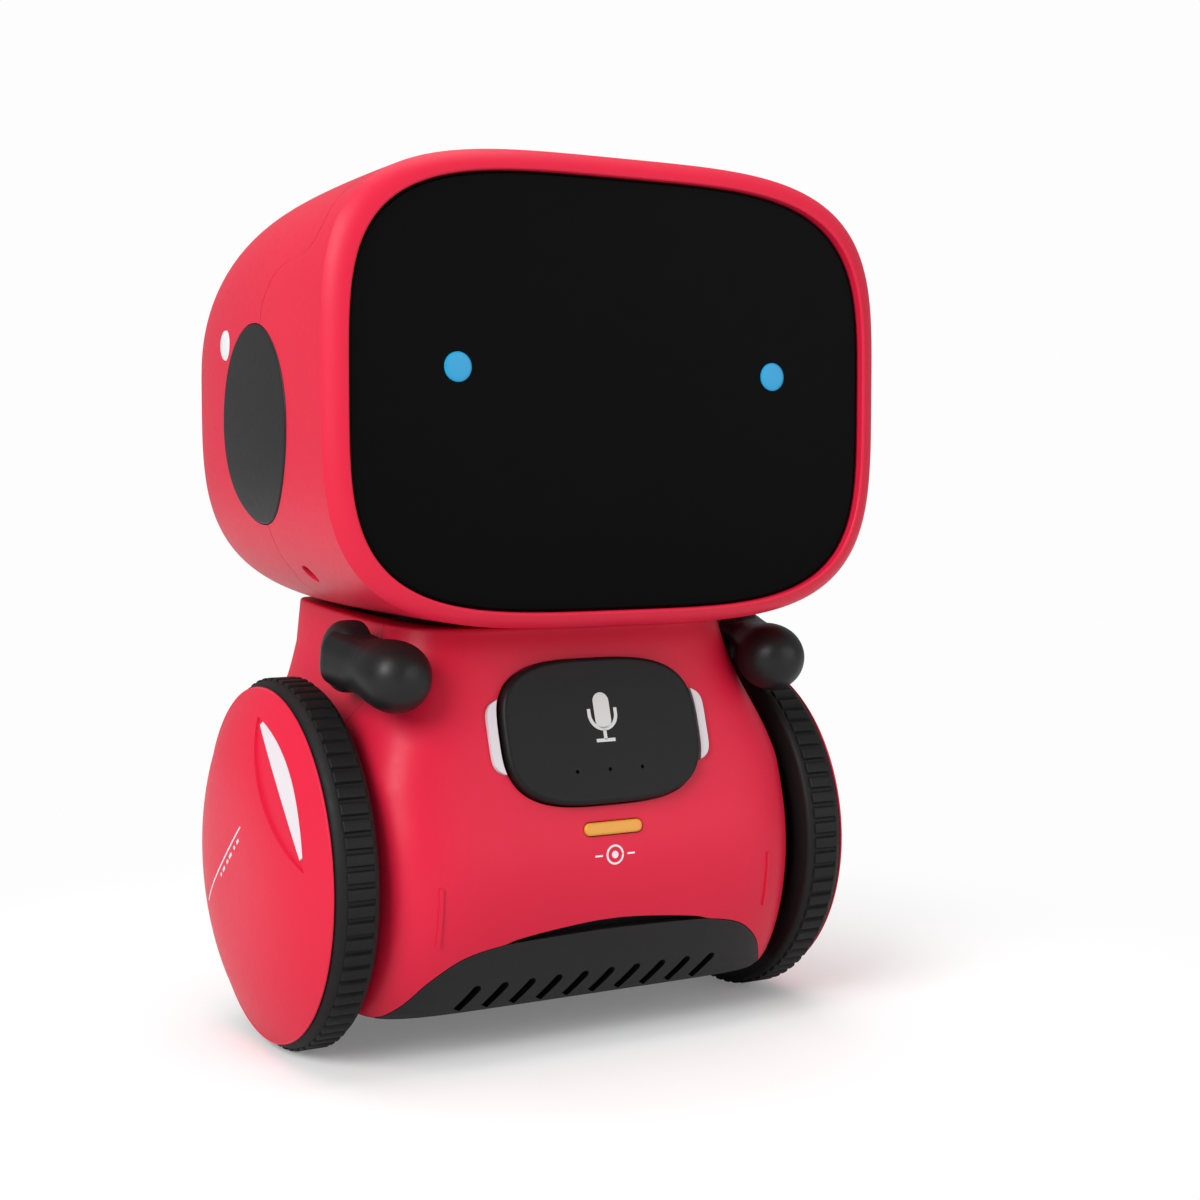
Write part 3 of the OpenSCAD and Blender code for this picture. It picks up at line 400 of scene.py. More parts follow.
def circle(r, x=0.0, y=0.0, steps=32):
    ang = np.linspace(0, 2 * math.pi, steps, endpoint=False)
    return np.stack([x + r * np.cos(ang), y + r * np.sin(ang)], 1)


def face_ring(grow, y, count=256):
    x, z = super_ring(FACE_W + grow, FACE_H + grow, FACE_H + grow, FACE_N, count)
    return np.stack([x, np.full(count, float(y)), z + FACE_Z], 1)


def head_outer():
    """The head's outside: face pocket, rounded lip, slanting bezel, sides and back."""
    rings = [face_ring(POCKET_GAP, POCKET_Y), face_ring(POCKET_GAP, HEAD_FRONT + LIP_R)]
    for a in np.radians([20, 40, 60, 80, 90]):
        grow = POCKET_GAP + LIP_R * (1 - math.cos(a))
        rings.append(face_ring(grow, HEAD_FRONT + LIP_R - LIP_R * math.sin(a)))
    rim, edge = head_ring(BEZEL_BACK), face_ring(POCKET_GAP + LIP_R, HEAD_FRONT)
    steep, flat = math.radians(72), math.radians(28)
    for a in np.linspace(steep, flat, 11):
        inward = (math.cos(flat) - math.cos(a)) / (math.cos(flat) - math.cos(steep))
        forward = (math.sin(a) - math.sin(flat)) / (math.sin(steep) - math.sin(flat))
        ring = rim * (1 - inward) + edge * inward
        ring[:, 1] = BEZEL_BACK - (BEZEL_BACK - HEAD_FRONT) * forward
        rings.append(ring)
    closing = HEAD_BACK - 10 * (1 - np.linspace(0, 1, 26)) ** 2
    for y in np.concatenate([np.arange(-35, 44, 1.0), closing]):
        rings.append(head_ring(y))
    return loft("head_outer", rings)


def head_inner(inset, start=-31.6, count=96):
    """The head's hollow, a wall of inset inside the outside."""
    rings = [head_ring(start, inset, count=count)]
    for y in np.concatenate([np.arange(-30, 42, 3.0), [44, 46, 47.5, 49, 50.2, 51, 51.5]]):
        s = y + (inset * (y - 30) / 22 if y > 30 else 0)
        rings.append(head_ring(s, inset, y, count))
    return loft("head_inner", rings)


# The line between the head's two shells seen from the side, as (y, z) from the top down
SEAM = [(-29.2, 190), (-29.2, 160), (-29.2, 148), (-29.8, 143.5), (-29.6, 141.1), (-28.1, 139.1),
        (-25.5, 138), (-21.9, 137.6), (-16.6, 137), (-12.4, 135.6), (-9.5, 133.4), (-7.6, 131), (-6.8, 128),
        (-5.5, 120), (-4.6, 106), (-4.2, 92.2), (-3.5, 88), (-3.2, 84.4), (-1, 81.9), (0.5, 60)]
SEAM_GAP = 0.17


def head_fore(gap):
    """Everything in front of the head's seam."""
    line = curve(SEAM, 6) + [gap, 0]
    return prism("fore", np.vstack([[(-80, 60), (-80, 190)], line]), "x", -70, 70)


DRUM_R, BODY_TOP = 34.6, 74.8
DRUM_JOIN_Z = 43  # below it the body's front is a drum about the wheel axis, above it slants back
# The body's half-width at each height, as (z, half-width)
BODY_W = [(4, 40), (8.4, 41.2), (9.2, 41.9), (10.5, 42.3), (13, 42.5), (30, 42.5), (46, 42.5), (50, 42.2),
          (54, 41.3), (58, 39.9), (62, 38.3), (66, 36.8), (70, 35.5), (74, 34.3), (78, 33.7)]


def drum_depth(z, w):
    return np.sqrt(np.maximum(1, (DRUM_R - w) ** 2 - (z - AXLE_Z) ** 2))


def body_front(z, w=0.0):
    """How far the body's front lies before the wheel axis at a height, inside a wall of w."""
    slant = math.sqrt(DRUM_R**2 - (DRUM_JOIN_Z - AXLE_Z) ** 2) - 0.302 * (z - DRUM_JOIN_Z) - w * 1.04
    return np.where(z < DRUM_JOIN_Z, drum_depth(z, w), slant)


def body_back(z, w=0.0):
    """How far the body's back lies behind the wheel axis."""
    rise = np.maximum(0, z - AXLE_Z)
    return np.where(z < AXLE_Z, drum_depth(z, w), DRUM_R - w + 0.075 * rise**2 / (rise + 6))


def body_n(z):
    return 7 - 1.5 * np.clip((z - 50) / 14, 0, 1)


def body_ring(z, w=0.0, count=256):
    f, b = float(body_front(z, w)), float(body_back(z, w))
    x, y = super_ring(float(eased(z, BODY_W)) - w, (b + f) / 2, (b + f) / 2, float(body_n(z)), count)
    return np.stack([x, y + (b - f) / 2, np.full(count, float(z))], 1)


def rim_z(x, y):
    """Height of the body's rim, which rises towards the back and the sides."""
    u, v = x / 35, np.maximum(0, (y + 25) / 62)
    return BODY_TOP + 0.45 + 1.6 * v * v + 2.4 * u * u * v


def body_outer():
    """The body's closed outside, with a rounded rim and a flat middle of the top under the head."""
    zs = np.concatenate([[8.4, 8.6, 8.9, 9.2, 9.7, 10.5, 11.5], np.arange(12.5, 70.2, 0.9)])
    rings = [body_ring(z) for z in zs]
    last, top = rings[-1], body_ring(74)
    mid = (float(body_back(74)) - float(body_front(74))) / 2

    def lid(k, rise, drop):
        r = (top - [0, mid, 0]) * [k, k, 1] + [0, mid, 0]
        r[:, 2] = BODY_TOP + rise * (rim_z(r[:, 0], r[:, 1]) - BODY_TOP) - drop
        return r

    first = lid(1.004, 1, 1.2)
    for t in (0.25, 0.5, 0.75):
        rings.append(last * (1 - t) + first * t)
    for k, drop in ((1.004, 1.2), (1.0035, 0.8), (1.001, 0.4), (0.997, 0.18), (0.992, 0.06), (0.985, 0)):
        rings.append(lid(k, 1, drop))
    for k in (0.96, 0.92, 0.87):
        rings.append(lid(k, 1, 0))
    flat = 0.62
    for k in np.linspace(0.85, flat, 10):
        s = (k - flat) / 0.25
        rings.append(lid(k, s * s * (3 - 2 * s), 0))
    rings.append(lid(0.5, 0, 0))
    return loft("body_outer", rings)


def body_inner(w, count=96):
    zs = np.concatenate([[8.2, 9, 10, 11], np.arange(13, 70, 2.0), [71, 72.4]])
    return loft("body_inner", [body_ring(z, w, count) for z in zs])


# The arch between the red body and the dark base, as (x, z): its sides, and its middle on each part
ARCH_X = 39.9
ARCH = [(ARCH_X, 8.3), (38.2, 10), (36.3, 12.3), (34.3, 15.1), (31.9, 17.4), (29.2, 19.3), (26.5, 20.4),
        (23.5, 21.1)]
ARCH_RED = [(20.6, 21.6), (18.6, 22.2), (14.2, 22.9), (8, 23.6), (2.5, 24)]
ARCH_BASE = [(20.6, 21.6), (14.2, 21.9), (7, 22.1), (2.5, 22.2)]


def arch_cut(middle, gap, y0, y1):
    """Everything under the arch, a gap smaller than its outline. Without a middle its top is flat."""
    half = ARCH + middle
    side = curve(half + [(-half[-1][0], half[-1][1])], 5)
    side = side[side[:, 0] > 0.05] - [gap, gap]
    line = np.vstack([[(ARCH_X - gap, 0)], side, side[::-1] * [-1, 1], [(gap - ARCH_X, 0)]])
    return prism("arch", line, "y", y0, y1)


def body_fore(gap):
    """Everything in front of the seam between the body's two shells."""
    line = np.array([(-60, 0), (0, 0), (0, 50), (-12, 62), (-12, 90), (-60, 90)], float) + [gap, 0]
    line[0, 0] = line[-1, 0] = -60
    return prism("fore", line, "x", -60, 60)


def rot_x(deg):
    return Matrix.Rotation(math.radians(deg), 4, "X")


def on_drum(z):
    """A frame on the body's round front at a height, whose own z axis points out."""
    a = math.asin((z - AXLE_Z) / DRUM_R)
    return Matrix.Translation((0, -DRUM_R * math.cos(a), z)) @ rot_x(90 - math.degrees(a))


PAD = Matrix.Translation((0, -28.96, 56.7)) @ rot_x(73.2)  # the chest key's frame, z pointing out
PAD_W, PAD_H, PAD_N = 19.6, 13.0, 3.2
PAD_TOP, PAD_EDGE_R = 1.9, 0.8
ICON_FROM, ICON_TOP = 1.7, 1.96
PIN_X, PIN_Y, PIN_R = 6.6, -7.2, 0.36
BAR_W, BAR_H, BAR_N = 22, 7.4, 6
BAR_FROM, BAR_TOP = -1.55, 0.8
PILL = on_drum(40.2)
PILL_W, PILL_R, PILL_GAP = 5.8, 1.15, 0.15
MARK = on_drum(35.5)
SHOULDER = (41.1, -12.0, 70.45)
BODY_POST_X, BODY_POST_Z = 22, 62
BASE_SCREW_X, BASE_SCREW_Y = 34.5, 14


def slab(outline, z0, z1):
    return prism("slab", outline, "z", z0, z1)


def placed_slab(outline, z0, z1, matrix):
    return in_frame(slab(outline, z0, z1), matrix)


# ---------------------------------------------------------------- head
def side_screw_hole(side):
    """A slanted stepped hole low on the head's side, with a rounded mouth."""
    x = float(head_side(SIDE_SCREW_Y, SIDE_SCREW_Z))
    mouth = [(1.85, -0.25), (1.95, -0.08), (2.25, 0.12), (2.6, 0.3), (2.6, 4)]
    hole = lathe("hole", [(1.05, -8), (1.05, -1.6), (1.85, -1.6)] + mouth, "z", 48)
    tilt = Matrix.Rotation(math.radians(SIDE_SCREW_TILT), 4, "Y")
    in_frame(hole, Matrix.Translation((x, SIDE_SCREW_Y, SIDE_SCREW_Z)) @ tilt)
    return hole if side > 0 else swap(hole)


def head_shells():
    rear = head_outer()
    inside = head_inner(2.4)
    tools = []
    for side in SIDES:
        ear = rod("x", side * 40, side * 60, EAR_Y, EAR_Z, EAR_R + 0.15, 160)
        cut(ear, head_inner(1.4))
        tools += [ear, side_screw_hole(side)]
    cut(rear, *tools)
    front = copy(rear)
    keep(front, head_fore(0))
    cut(front, copy(inside), *[rod("y", -40, -30, s * EYE_X, EYE_Z, EYE_R + 0.25) for s in SIDES])
    places = [(s * x, z) for x, z in HEAD_POSTS for s in SIDES]
    posts = [rod("y", -2, 60, x, z, POST_R) for x, z in places]
    solid = copy(rear)
    cut(rear, head_fore(SEAM_GAP), inside)
    for post in posts:
        keep(post, copy(solid))
        join(rear, post)
    bpy.data.objects.remove(solid)
    for x, z in places:
        cut(rear, rod("y", 12, 60, x, z, POST_WELL_R), rod("y", -3, 14, x, z, SCREW_HOLE_R, 32))
    cut(rear, rod("z", 66, 84, 0, NECK_Y, NECK_R + 0.04, 96))
    cut(rear, *[rod("x", s * 40, s * 60, LAMP_Y, LAMP_Z, LAMP_R + 0.08, 64) for s in SIDES])
    piece(front, "head_front", "head", "red_shell", mats["red_shell"], "head_front_shell")
    piece(rear, "head_rear", "head", "red_shell", mats["red_shell"], "head_rear_shell")


def ear_disc():
    """The round side cover: it follows the head's side, a little proud, with a rounded rim."""
    steps = 160
    ang = np.linspace(0, 2 * math.pi, steps, endpoint=False)

    def ring(r, lift):
        y, z = EAR_Y + r * np.cos(ang), EAR_Z + r * np.sin(ang)
        return np.stack([head_side(y, z) + lift, y, z], 1)

    rings = [ring(r, -1.15) for r in (0.5, 6, 12, EAR_R - 0.02)]
    edge_r = 0.4
    for a in np.radians([0, 22, 45, 68, 90]):
        rings.append(ring(EAR_R - edge_r * (1 - math.cos(a)), EAR_PROUD - edge_r * (1 - math.sin(a))))
    rings += [ring(r, EAR_PROUD) for r in np.linspace(EAR_R - 1.2, 0.5, 16)]
    return loft("ear", rings)


def face_scaled(k, y):
    """The face's outline shrunk about its middle."""
    ring = face_ring(0, y)
    ring[:, 0] *= k
    ring[:, 2] = FACE_Z + (ring[:, 2] - FACE_Z) * k
    return ring


def face_panel():
    """The dark panel, a little crowned, and the two eyes set into it."""
    back, edge = POCKET_Y - 0.05, -36.1
    rings = [face_scaled(k, y) for k, y in ((0.1, back), (0.6, back), (1, back), (1, edge))]
    for a in np.radians([20, 40, 60, 80]):
        rings.append(face_scaled(1 - 0.011 * (1 - math.cos(a)), edge - 0.58 * math.sin(a)))
    for k in np.linspace(0.985, 0.03, 26):
        rings.append(face_scaled(k, -36.9 + 0.21 * k * k))
    panel = loft("panel", rings)
    cut(panel, *[rod("y", -40, -30, s * EYE_X, EYE_Z, EYE_R + 0.06, 64) for s in SIDES])
    piece(panel, "face", "head", "face_black", mats["face_black"], "face_panel")
    front = [(2.5, -36.85), (2.46, -36.95), (2.36, -37.02), (2.1, -37.06), (1.4, -37.09), (0.6, -37.1)]
    for s, side in SIDES.items():
        eye = lathe("eye", [(1, back), (EYE_R, back)] + front, "y", 64, (s * EYE_X, 0, EYE_Z))
        stands_for = ["eye_lenses"] if s > 0 else []
        piece(eye, "eye_" + side, "head", "eye_blue", mats["eye_blue"], *stands_for)


def side_lamps():
    """Small pale lights that follow the head's sides."""
    x, r = float(head_side(LAMP_Y, LAMP_Z)), LAMP_R
    front = [(r, x - 0.15), (r - 0.06, x - 0.02), (r - 0.25, x + 0.07), (1.6, x + 0.12), (0.5, x + 0.14)]
    lamp = lathe("lamp", [(0.5, x - 4), (r, x - 4)] + front, "x", 64, (0, LAMP_Y, LAMP_Z))
    for ob, side in zip(both(lamp), SIDES.values()):
        stands_for = ["side_lights"] if side == "left" else []
        piece(ob, "side_lamp_" + side, "head", "led_white", mats["led_white"], *stands_for)


# ---------------------------------------------------------------- body
def side_rib(side, full):
    """A thin raised line that curves down the body's front beside the wheel."""
    x, y, z = side * 33.3, -0.45, 27.4
    rib = lathe("rib", [(DRUM_R + 5, -0.33), (DRUM_R + 5, 0.33)], "x", 128, (x, y, z))
    cut(rib, rod("x", x - 2, x + 2, y, z, DRUM_R - 3, 128))
    proud = copy(full)
    proud.data.transform(Matrix.Translation((0, -0.35 * MM, 0)))
    return keep(rib, proud, box(-60, 60, -60, -20, 22.5, 32.7))


def body_front_shell(skin, full):
    front = copy(skin)
    keep(front, body_fore(0), box(-60, 60, -60, 60, 8.3, 95))
    join(front, placed_slab(rounded(PAD_W + 3, PAD_H + 1.6, 4, 96), -3.6, -1.4, PAD))
    for side in (-1, 1):
        join(front, side_rib(side, full))
    cut(front, arch_cut(ARCH_RED, 0, -60, 5))
    cut(front, placed_slab(rounded(PAD_W + 0.3, PAD_H + 0.3, PAD_N), -2, 8, PAD))
    for side in SIDES:
        cut(front, in_frame(light_bar(0.08, side, BAR_FROM - 0.05, 6), PAD))
    slot = capsule(PILL_W + PILL_GAP, PILL_R + PILL_GAP)
    mouth = capsule(PILL_W + PILL_GAP + 0.17, PILL_R + PILL_GAP + 0.17)
    cut(front, placed_slab(slot, -5, 8, PILL), placed_slab(mouth, -0.12, 8, PILL))
    return front


def body_rear_shell(skin, full):
    rear = copy(skin)
    cut(rear, body_fore(0.12), arch_cut(ARCH_BASE, 0, -5, 60))
    cut(rear, rod("z", 66, 84, 0, NECK_Y, NECK_R + 0.08, 96))
    for s in SIDES:
        x, z = s * BODY_POST_X, BODY_POST_Z
        post = rod("y", -12, 42, x, z, POST_R)
        keep(post, copy(full))
        join(rear, post)
        cut(rear, rod("y", 14, 60, x, z, POST_WELL_R), rod("y", -13, 16, x, z, SCREW_HOLE_R, 32))
    cut(rear, box(-5.2, 5.2, 20, 40, 24.9, 29.1))
    return rear


def grille_slot(i):
    """One of the slanted slots along the front of the base, which end in a half round at the top."""
    half, height, pitch, first = 0.85, 4.6, 5.35, -26.4
    top = [(half * math.cos(a), height + half * math.sin(a)) for a in np.radians(np.linspace(0, 180, 20))]
    slant = rot_x(90) @ Matrix.Rotation(math.radians(-30), 4, "Z")
    place = Matrix.Translation((first + pitch * i, -20, 9.2)) @ slant
    return placed_slab([(-half, 0), (half, 0)] + top, 0, 20, place)


def base_shell(full):
    """The dark base: its wall and floor, the cell bay, the roller's well and legs, slots and screw holes."""
    base = copy(full)
    cut(base, body_inner(2.4))
    keep(base, arch_cut(ARCH_BASE, 0.12, -60, 60))
    bottom = copy(full)
    keep(bottom, arch_cut([], 0.12, -60, 60), box(-60, 60, -60, 60, 8, 11))
    join(base, bottom)
    strip = body_inner(2.35)
    cut(strip, body_inner(3.5))
    keep(strip, box(-23, 23, -60, -20, 20, 26))
    join(base, strip, box(-27.9, 27.9, -17.5, 17.5, 10, 23.1), rod("z", 9, 18, 32.4, 0, 3.2))
    well = copy(full)
    keep(well, box(-7.6, 7.6, 19, 33, 8.45, 14))
    join(base, well)
    roller_y, roller_z = 26, 5
    for s in SIDES:
        leg = box(s * 5.1, s * 7.3, roller_y - 2.4, roller_y + 2.4, roller_z, 9.4)
        join(base, rod("x", s * 5.1, s * 7.3, roller_y, roller_z, 2.4), leg)
    cut(base, box(-26.5, 26.5, -16.3, 16.3, 5, 21.9), box(-30, 30, -20.5, 20.5, 5, 9.75))
    cut(base, rod("z", 5, 9.75, 32.4, 0, 4.4), rod("z", 9, 17, 32.4, 0, 0.9))
    cut(base, box(-5, 5, 20.6, 31.6, 5, 10.7), rod("x", -7.4, 7.4, roller_y, roller_z, 0.9))
    for i in range(10):
        cut(base, grille_slot(i))
    for s in SIDES:
        for y in (-BASE_SCREW_Y, BASE_SCREW_Y):
            x = s * BASE_SCREW_X
            cut(base, rod("z", 8, 12, x, y, 1.2, 32), rod("z", 8, 10, x, y, 2.5))
    return base


def body_shells():
    full = body_outer()
    skin = copy(full)
    cut(skin, body_inner(2.2))
    rear = body_rear_shell(skin, full)
    front = body_front_shell(skin, full)
    for ob in (front, rear):
        for s in SIDES:
            cut(ob, rod("x", s * 36, s * 60, 0, AXLE_Z, 1.6))
            cut(ob, rod("x", s * 28, s * 60, SHOULDER[1], SHOULDER[2], 1.6))
    piece(front, "body_front", "body", "red_shell", mats["red_shell"], "body_front_shell")
    piece(rear, "body_rear", "body", "red_shell", mats["red_shell"], "body_rear_shell")
    piece(base_shell(full), "base", "body", "dark_plastic", mats["dark_plastic"], "base_plate")
    for ob in (skin, full):
        bpy.data.objects.remove(ob)


def chest_key():
    rings = [flat_ring(PAD_W * k, PAD_H * k, PAD_N, -1, 192) for k in (0.3, 1)]
    edge = PAD_TOP - PAD_EDGE_R
    rings.append(flat_ring(PAD_W, PAD_H, PAD_N, edge, 192))
    for a in np.radians(np.linspace(10, 90, 9)):
        e = PAD_EDGE_R * (1 - math.cos(a))
        rings.append(flat_ring(PAD_W - e, PAD_H - e, PAD_N, edge + PAD_EDGE_R * math.sin(a), 192))
    for k in (0.93, 0.8, 0.6, 0.4, 0.2):
        rings.append(flat_ring(PAD_W * k, PAD_H * k, PAD_N, PAD_TOP, 192))
    pad = in_frame(loft("pad", rings), PAD)
    for x in (-PIN_X, 0, PIN_X):
        cut(pad, placed_slab(circle(PIN_R, x, PIN_Y, 24), edge, 3, PAD))
    piece(pad, "pad", "chest_pad", "pad_black", mats["pad_black"], "chest_pad")


def microphone_icon():
    """A generic microphone on the chest key: its head, cup, stem and foot."""
    middle, outer_r, inner_r, cup_top = 2.7, 3.0, 2.35, 3.7
    outer = circle_arc(outer_r, middle, 180, 360)
    inner = circle_arc(inner_r, middle, 360, 180)
    right_end = [(outer_r, cup_top), (inner_r, cup_top)]
    cup = [(-outer_r, cup_top)] + outer + right_end + inner + [(-inner_r, cup_top)]
    head = [(y, x + 3.3) for x, y in capsule(3.25, 1.6)]
    stem = [(-0.33, -1.9), (0.33, -1.9), (0.33, -0.15), (-0.33, -0.15)]
    foot = [(-1.9, -2.3), (1.9, -2.3), (1.9, -1.7), (-1.9, -1.7)]
    for i, outline in enumerate((head, cup, stem, foot)):
        ob = placed_slab(outline, ICON_FROM, ICON_TOP, PAD)
        piece(ob, f"pad_icon_{i}", "chest_pad", "pad_black", icon_grey)


def circle_arc(r, middle, start, end):
    return [(r * math.cos(a), r * math.sin(a) + middle) for a in np.radians(np.linspace(start, end, 33))]


def pill_ring(e, z):
    outline = capsule(PILL_W - e, PILL_R - e, 32)
    return np.column_stack([outline, np.full(len(outline), float(z))])


def small_key():
    """The yellow key under the chest key, with a rounded edge."""
    edge_z, edge_r = 0.05, 0.45
    rings = [pill_ring(0.7, -2.6), pill_ring(0, -2.6), pill_ring(0, edge_z)]
    for a in np.radians(np.linspace(15, 90, 7)):
        rings.append(pill_ring(edge_r * (1 - math.cos(a)), edge_z + edge_r * math.sin(a)))
    rings.append(pill_ring(0.8, 0.52))
    key = in_frame(loft("key", rings), PILL)
    piece(key, "small_key", "rec_button", "key_yellow", mats["key_yellow"], "rec_button")


def light_bar(grow, side, z0, z1):
    """What shows of a pale bar beside the chest key: a rounded slab less the key and its gap."""
    bar = slab(rounded(BAR_W + grow, BAR_H + grow, BAR_N), z0, z1)
    cut(bar, slab(rounded(PAD_W + 0.75 - grow, PAD_H + 0.75 - grow, PAD_N), z0 - 3, z1 + 3))
    keep(bar, slab([(15, -12), (27, -12), (27, 12), (15, 12)], z0 - 2, z1 + 2))
    return bar if side > 0 else swap(bar)


def light_bars():
    for s, side in SIDES.items():
        bar = light_bar(0, s, BAR_FROM, BAR_TOP)
        soften(bar, 0.14)
        stands_for = ["chest_lights"] if s > 0 else []
        look = mats["white_plastic"]
        piece(in_frame(bar, PAD), "light_bar_" + side, "body", "led_white", look, *stands_for)


def record_sign():
    """A plain record sign under the yellow key: a ring, a dot and a dash on each side."""
    t = np.linspace(0, 2 * math.pi, 49)
    outer = [(1.75 * math.cos(v), 1.75 * math.sin(v)) for v in t]
    inner = [(1.4 * math.cos(v), 1.4 * math.sin(v)) for v in t[:0:-1]]
    shapes = [outer + inner, [(0.65 * math.cos(v), 0.65 * math.sin(v)) for v in t[:-1]]]
    for s in (-1, 1):
        shapes.append([(s * 2.5, -0.16), (s * 4.0, -0.16), (s * 4.0, 0.16), (s * 2.5, 0.16)])
    for i, outline in enumerate(shapes):
        piece(placed_slab(outline, -0.4, 0.05, MARK), f"mark_{i}", "body", "red_shell", mark_white)


def swap(ob):
    """Moves a mesh to the robot's other side."""
    new = mirrored(ob, ob.name)
    bpy.data.objects.remove(ob)
    return new


def soften(ob, width, angle=40):
    """Rounds the edges sharper than an angle."""
    m = ob.modifiers.new("bevel", "BEVEL")
    m.width = width * MM
    m.segments = 3
    m.limit_method = "ANGLE"
    m.angle_limit = math.radians(angle)
    freeze(ob)


# ---------------------------------------------------------------- wheels and arms
CAP_IN, CAP_R, CAP_DOME = 51.45, 31.5, 6.6
LEAF_HALF, LEAF_ANGLE, LEAF_Y, LEAF_Z = 16.4, 226.7, -14.2, 14.9


def dome(k, sunk=0.0):
    """How far out the wheel cap's dome is at a share k of its radius."""
    return CAP_IN + (CAP_DOME - sunk) * (1 - k**3)


def dome_solid(sunk, r, start=CAP_IN):
    ks = np.concatenate([[0.999, 0.995, 0.988, 0.978], np.linspace(0.965, 0.02, 40)])
    profile = [(1, start), (r, start)] + [(r * k, dome(k, sunk)) for k in ks]
    return lathe("dome", profile, "x", 192, (0, 0, AXLE_Z))


def leaf(w0, w1, grow=0.0, reach=1.0):
    """A leaf between two parabolas, slanted over the cap, as (y, z) points."""
    s = np.linspace(-reach, reach, 41)
    half = LEAF_HALF + grow * 2
    top = [(v * half, (w0 + grow) * (1 - v * v)) for v in s]
    low = [(v * half, (w1 - grow) * (1 - v * v)) for v in s[::-1]]
    points = top + (low if reach < 1 else low[1:-1])
    c, d = math.cos(math.radians(LEAF_ANGLE)), math.sin(math.radians(LEAF_ANGLE))
    return [(LEAF_Y + x * c - y * d, AXLE_Z + LEAF_Z + x * d + y * c) for x, y in points]


def cap_solid():
    """The domed cap with its hollow inside and a shallow leaf with soft edges in its face."""
    rim = [(1, CAP_IN), (31.2, CAP_IN), (31.42, CAP_IN + 0.04), (31.52, CAP_IN + 0.16), (CAP_R, CAP_IN + 0.3),
           (31.36, CAP_IN + 0.42)]
    ks = np.concatenate([[0.9885, 0.982, 0.974], np.linspace(0.96, 0.01, 56)])
    face = [(CAP_R * k, dome(k) + 0.12 * max(0, (k - 0.9) / 0.0885) ** 2) for k in ks]
    cap = lathe("cap", rim + face, "x", 256, (0, 0, AXLE_Z))
    hollow = [(1, -1), (29.6, -1), (29.6, 0), (29, 1), (26, 2.1), (21, 3.3), (14, 4.2), (1, 4.6)]
    cut(cap, lathe("hollow", [(r, CAP_IN + x) for r, x in hollow], "x", 96, (0, 0, AXLE_Z)))
    for grow, deep in ((0.26, 0.04), (0.17, 0.11), (0.08, 0.24), (0, 0.75)):
        cutter = prism("leaf", leaf(2.5, -5.9, grow), "x", CAP_IN, 62)
        cut(cutter, dome_solid(deep, CAP_R + (0.6 if deep < 0.5 else -0.5), CAP_IN - 1))
        cut(cap, cutter)
    return cap


def cap_marks():
    """A line with six short bars under it, in place of the photo's word on the cap."""
    along = np.array([19.5, -16.5]) / math.hypot(19.5, 16.5)
    across = np.array([-along[1], along[0]])
    start = np.array([-4.6, 7.9 + AXLE_Z])
    bars = [(0, math.hypot(19.5, 16.5), 0, 0.17)]
    for i, length in enumerate((1.1, 0.7, 1.5, 0.9, 1.3, 0.6)):
        at = 2.0 + 2.3 * i
        bars.append((at, at + length, -1.35, 0.3))
    out = []
    for a, b, off, h in bars:
        corners = ((a, -h), (b, -h), (b, h), (a, h))
        bar = prism("bar", [start + along * u + across * (off + v) for u, v in corners], "x", CAP_IN, 62)
        keep(bar, dome_solid(-0.045, CAP_R + 0.2))
        out.append(cut(bar, dome_solid(0.1, CAP_R - 0.1, CAP_IN - 1)))
    return out


def wheel_cap(s, side):
    put = (lambda ob: ob) if s > 0 else swap
    body = "wheel_" + side
    piece(put(cap_solid()), "cap_" + side, body, "red_shell", mats["red_shell"], "cap_" + side)
    insert = prism("insert", leaf(-2.3, -5.72, 0, 0.86), "x", CAP_IN, 62)
    keep(insert, dome_solid(0.2, CAP_R))
    cut(insert, dome_solid(0.72, CAP_R - 0.5, CAP_IN - 1))
    name = "cap_insert_" + side
    piece(put(insert), name, body, "white_plastic", mats["white_plastic"], name)
    for i, bar in enumerate(cap_marks()):
        piece(put(bar), f"cap_bar_{side}_{i}", body, "red_shell", mark_white)


TYRE_R, TREAD_FLOOR_R, TYRE_BORE_R, RIBS = 33, 32.5, 30.6, 72
# The tread as (x, share of a rib's height there), and the rest of the tyre's section as (x, radius)
TREAD = [(44.68, 0), (44.74, 0.8), (44.85, 1), (47, 1), (49.45, 1), (49.56, 0.8), (49.62, 0)]
TYRE_INNER = [(43.5, 27.4), (43.5, 31.4), (43.58, 31.75), (43.8, 32.1), (44.1, 32.32), (44.5, TREAD_FLOOR_R)]
TYRE_OUTER = [(49.8, 32.46), (50.2, 32.3), (50.6, 32.1), (50.95, 31.82), (51.2, 31.5), (51.33, 31.15),
              (51.35, 30.8), (51.3, TYRE_BORE_R), (50, TYRE_BORE_R), (50, 27.4)]
TYRE_ROWS = ([(x, r, 0) for x, r in TYRE_INNER] + [(x, TREAD_FLOOR_R, k) for x, k in TREAD]
             + [(x, r, 0) for x, r in TYRE_OUTER])


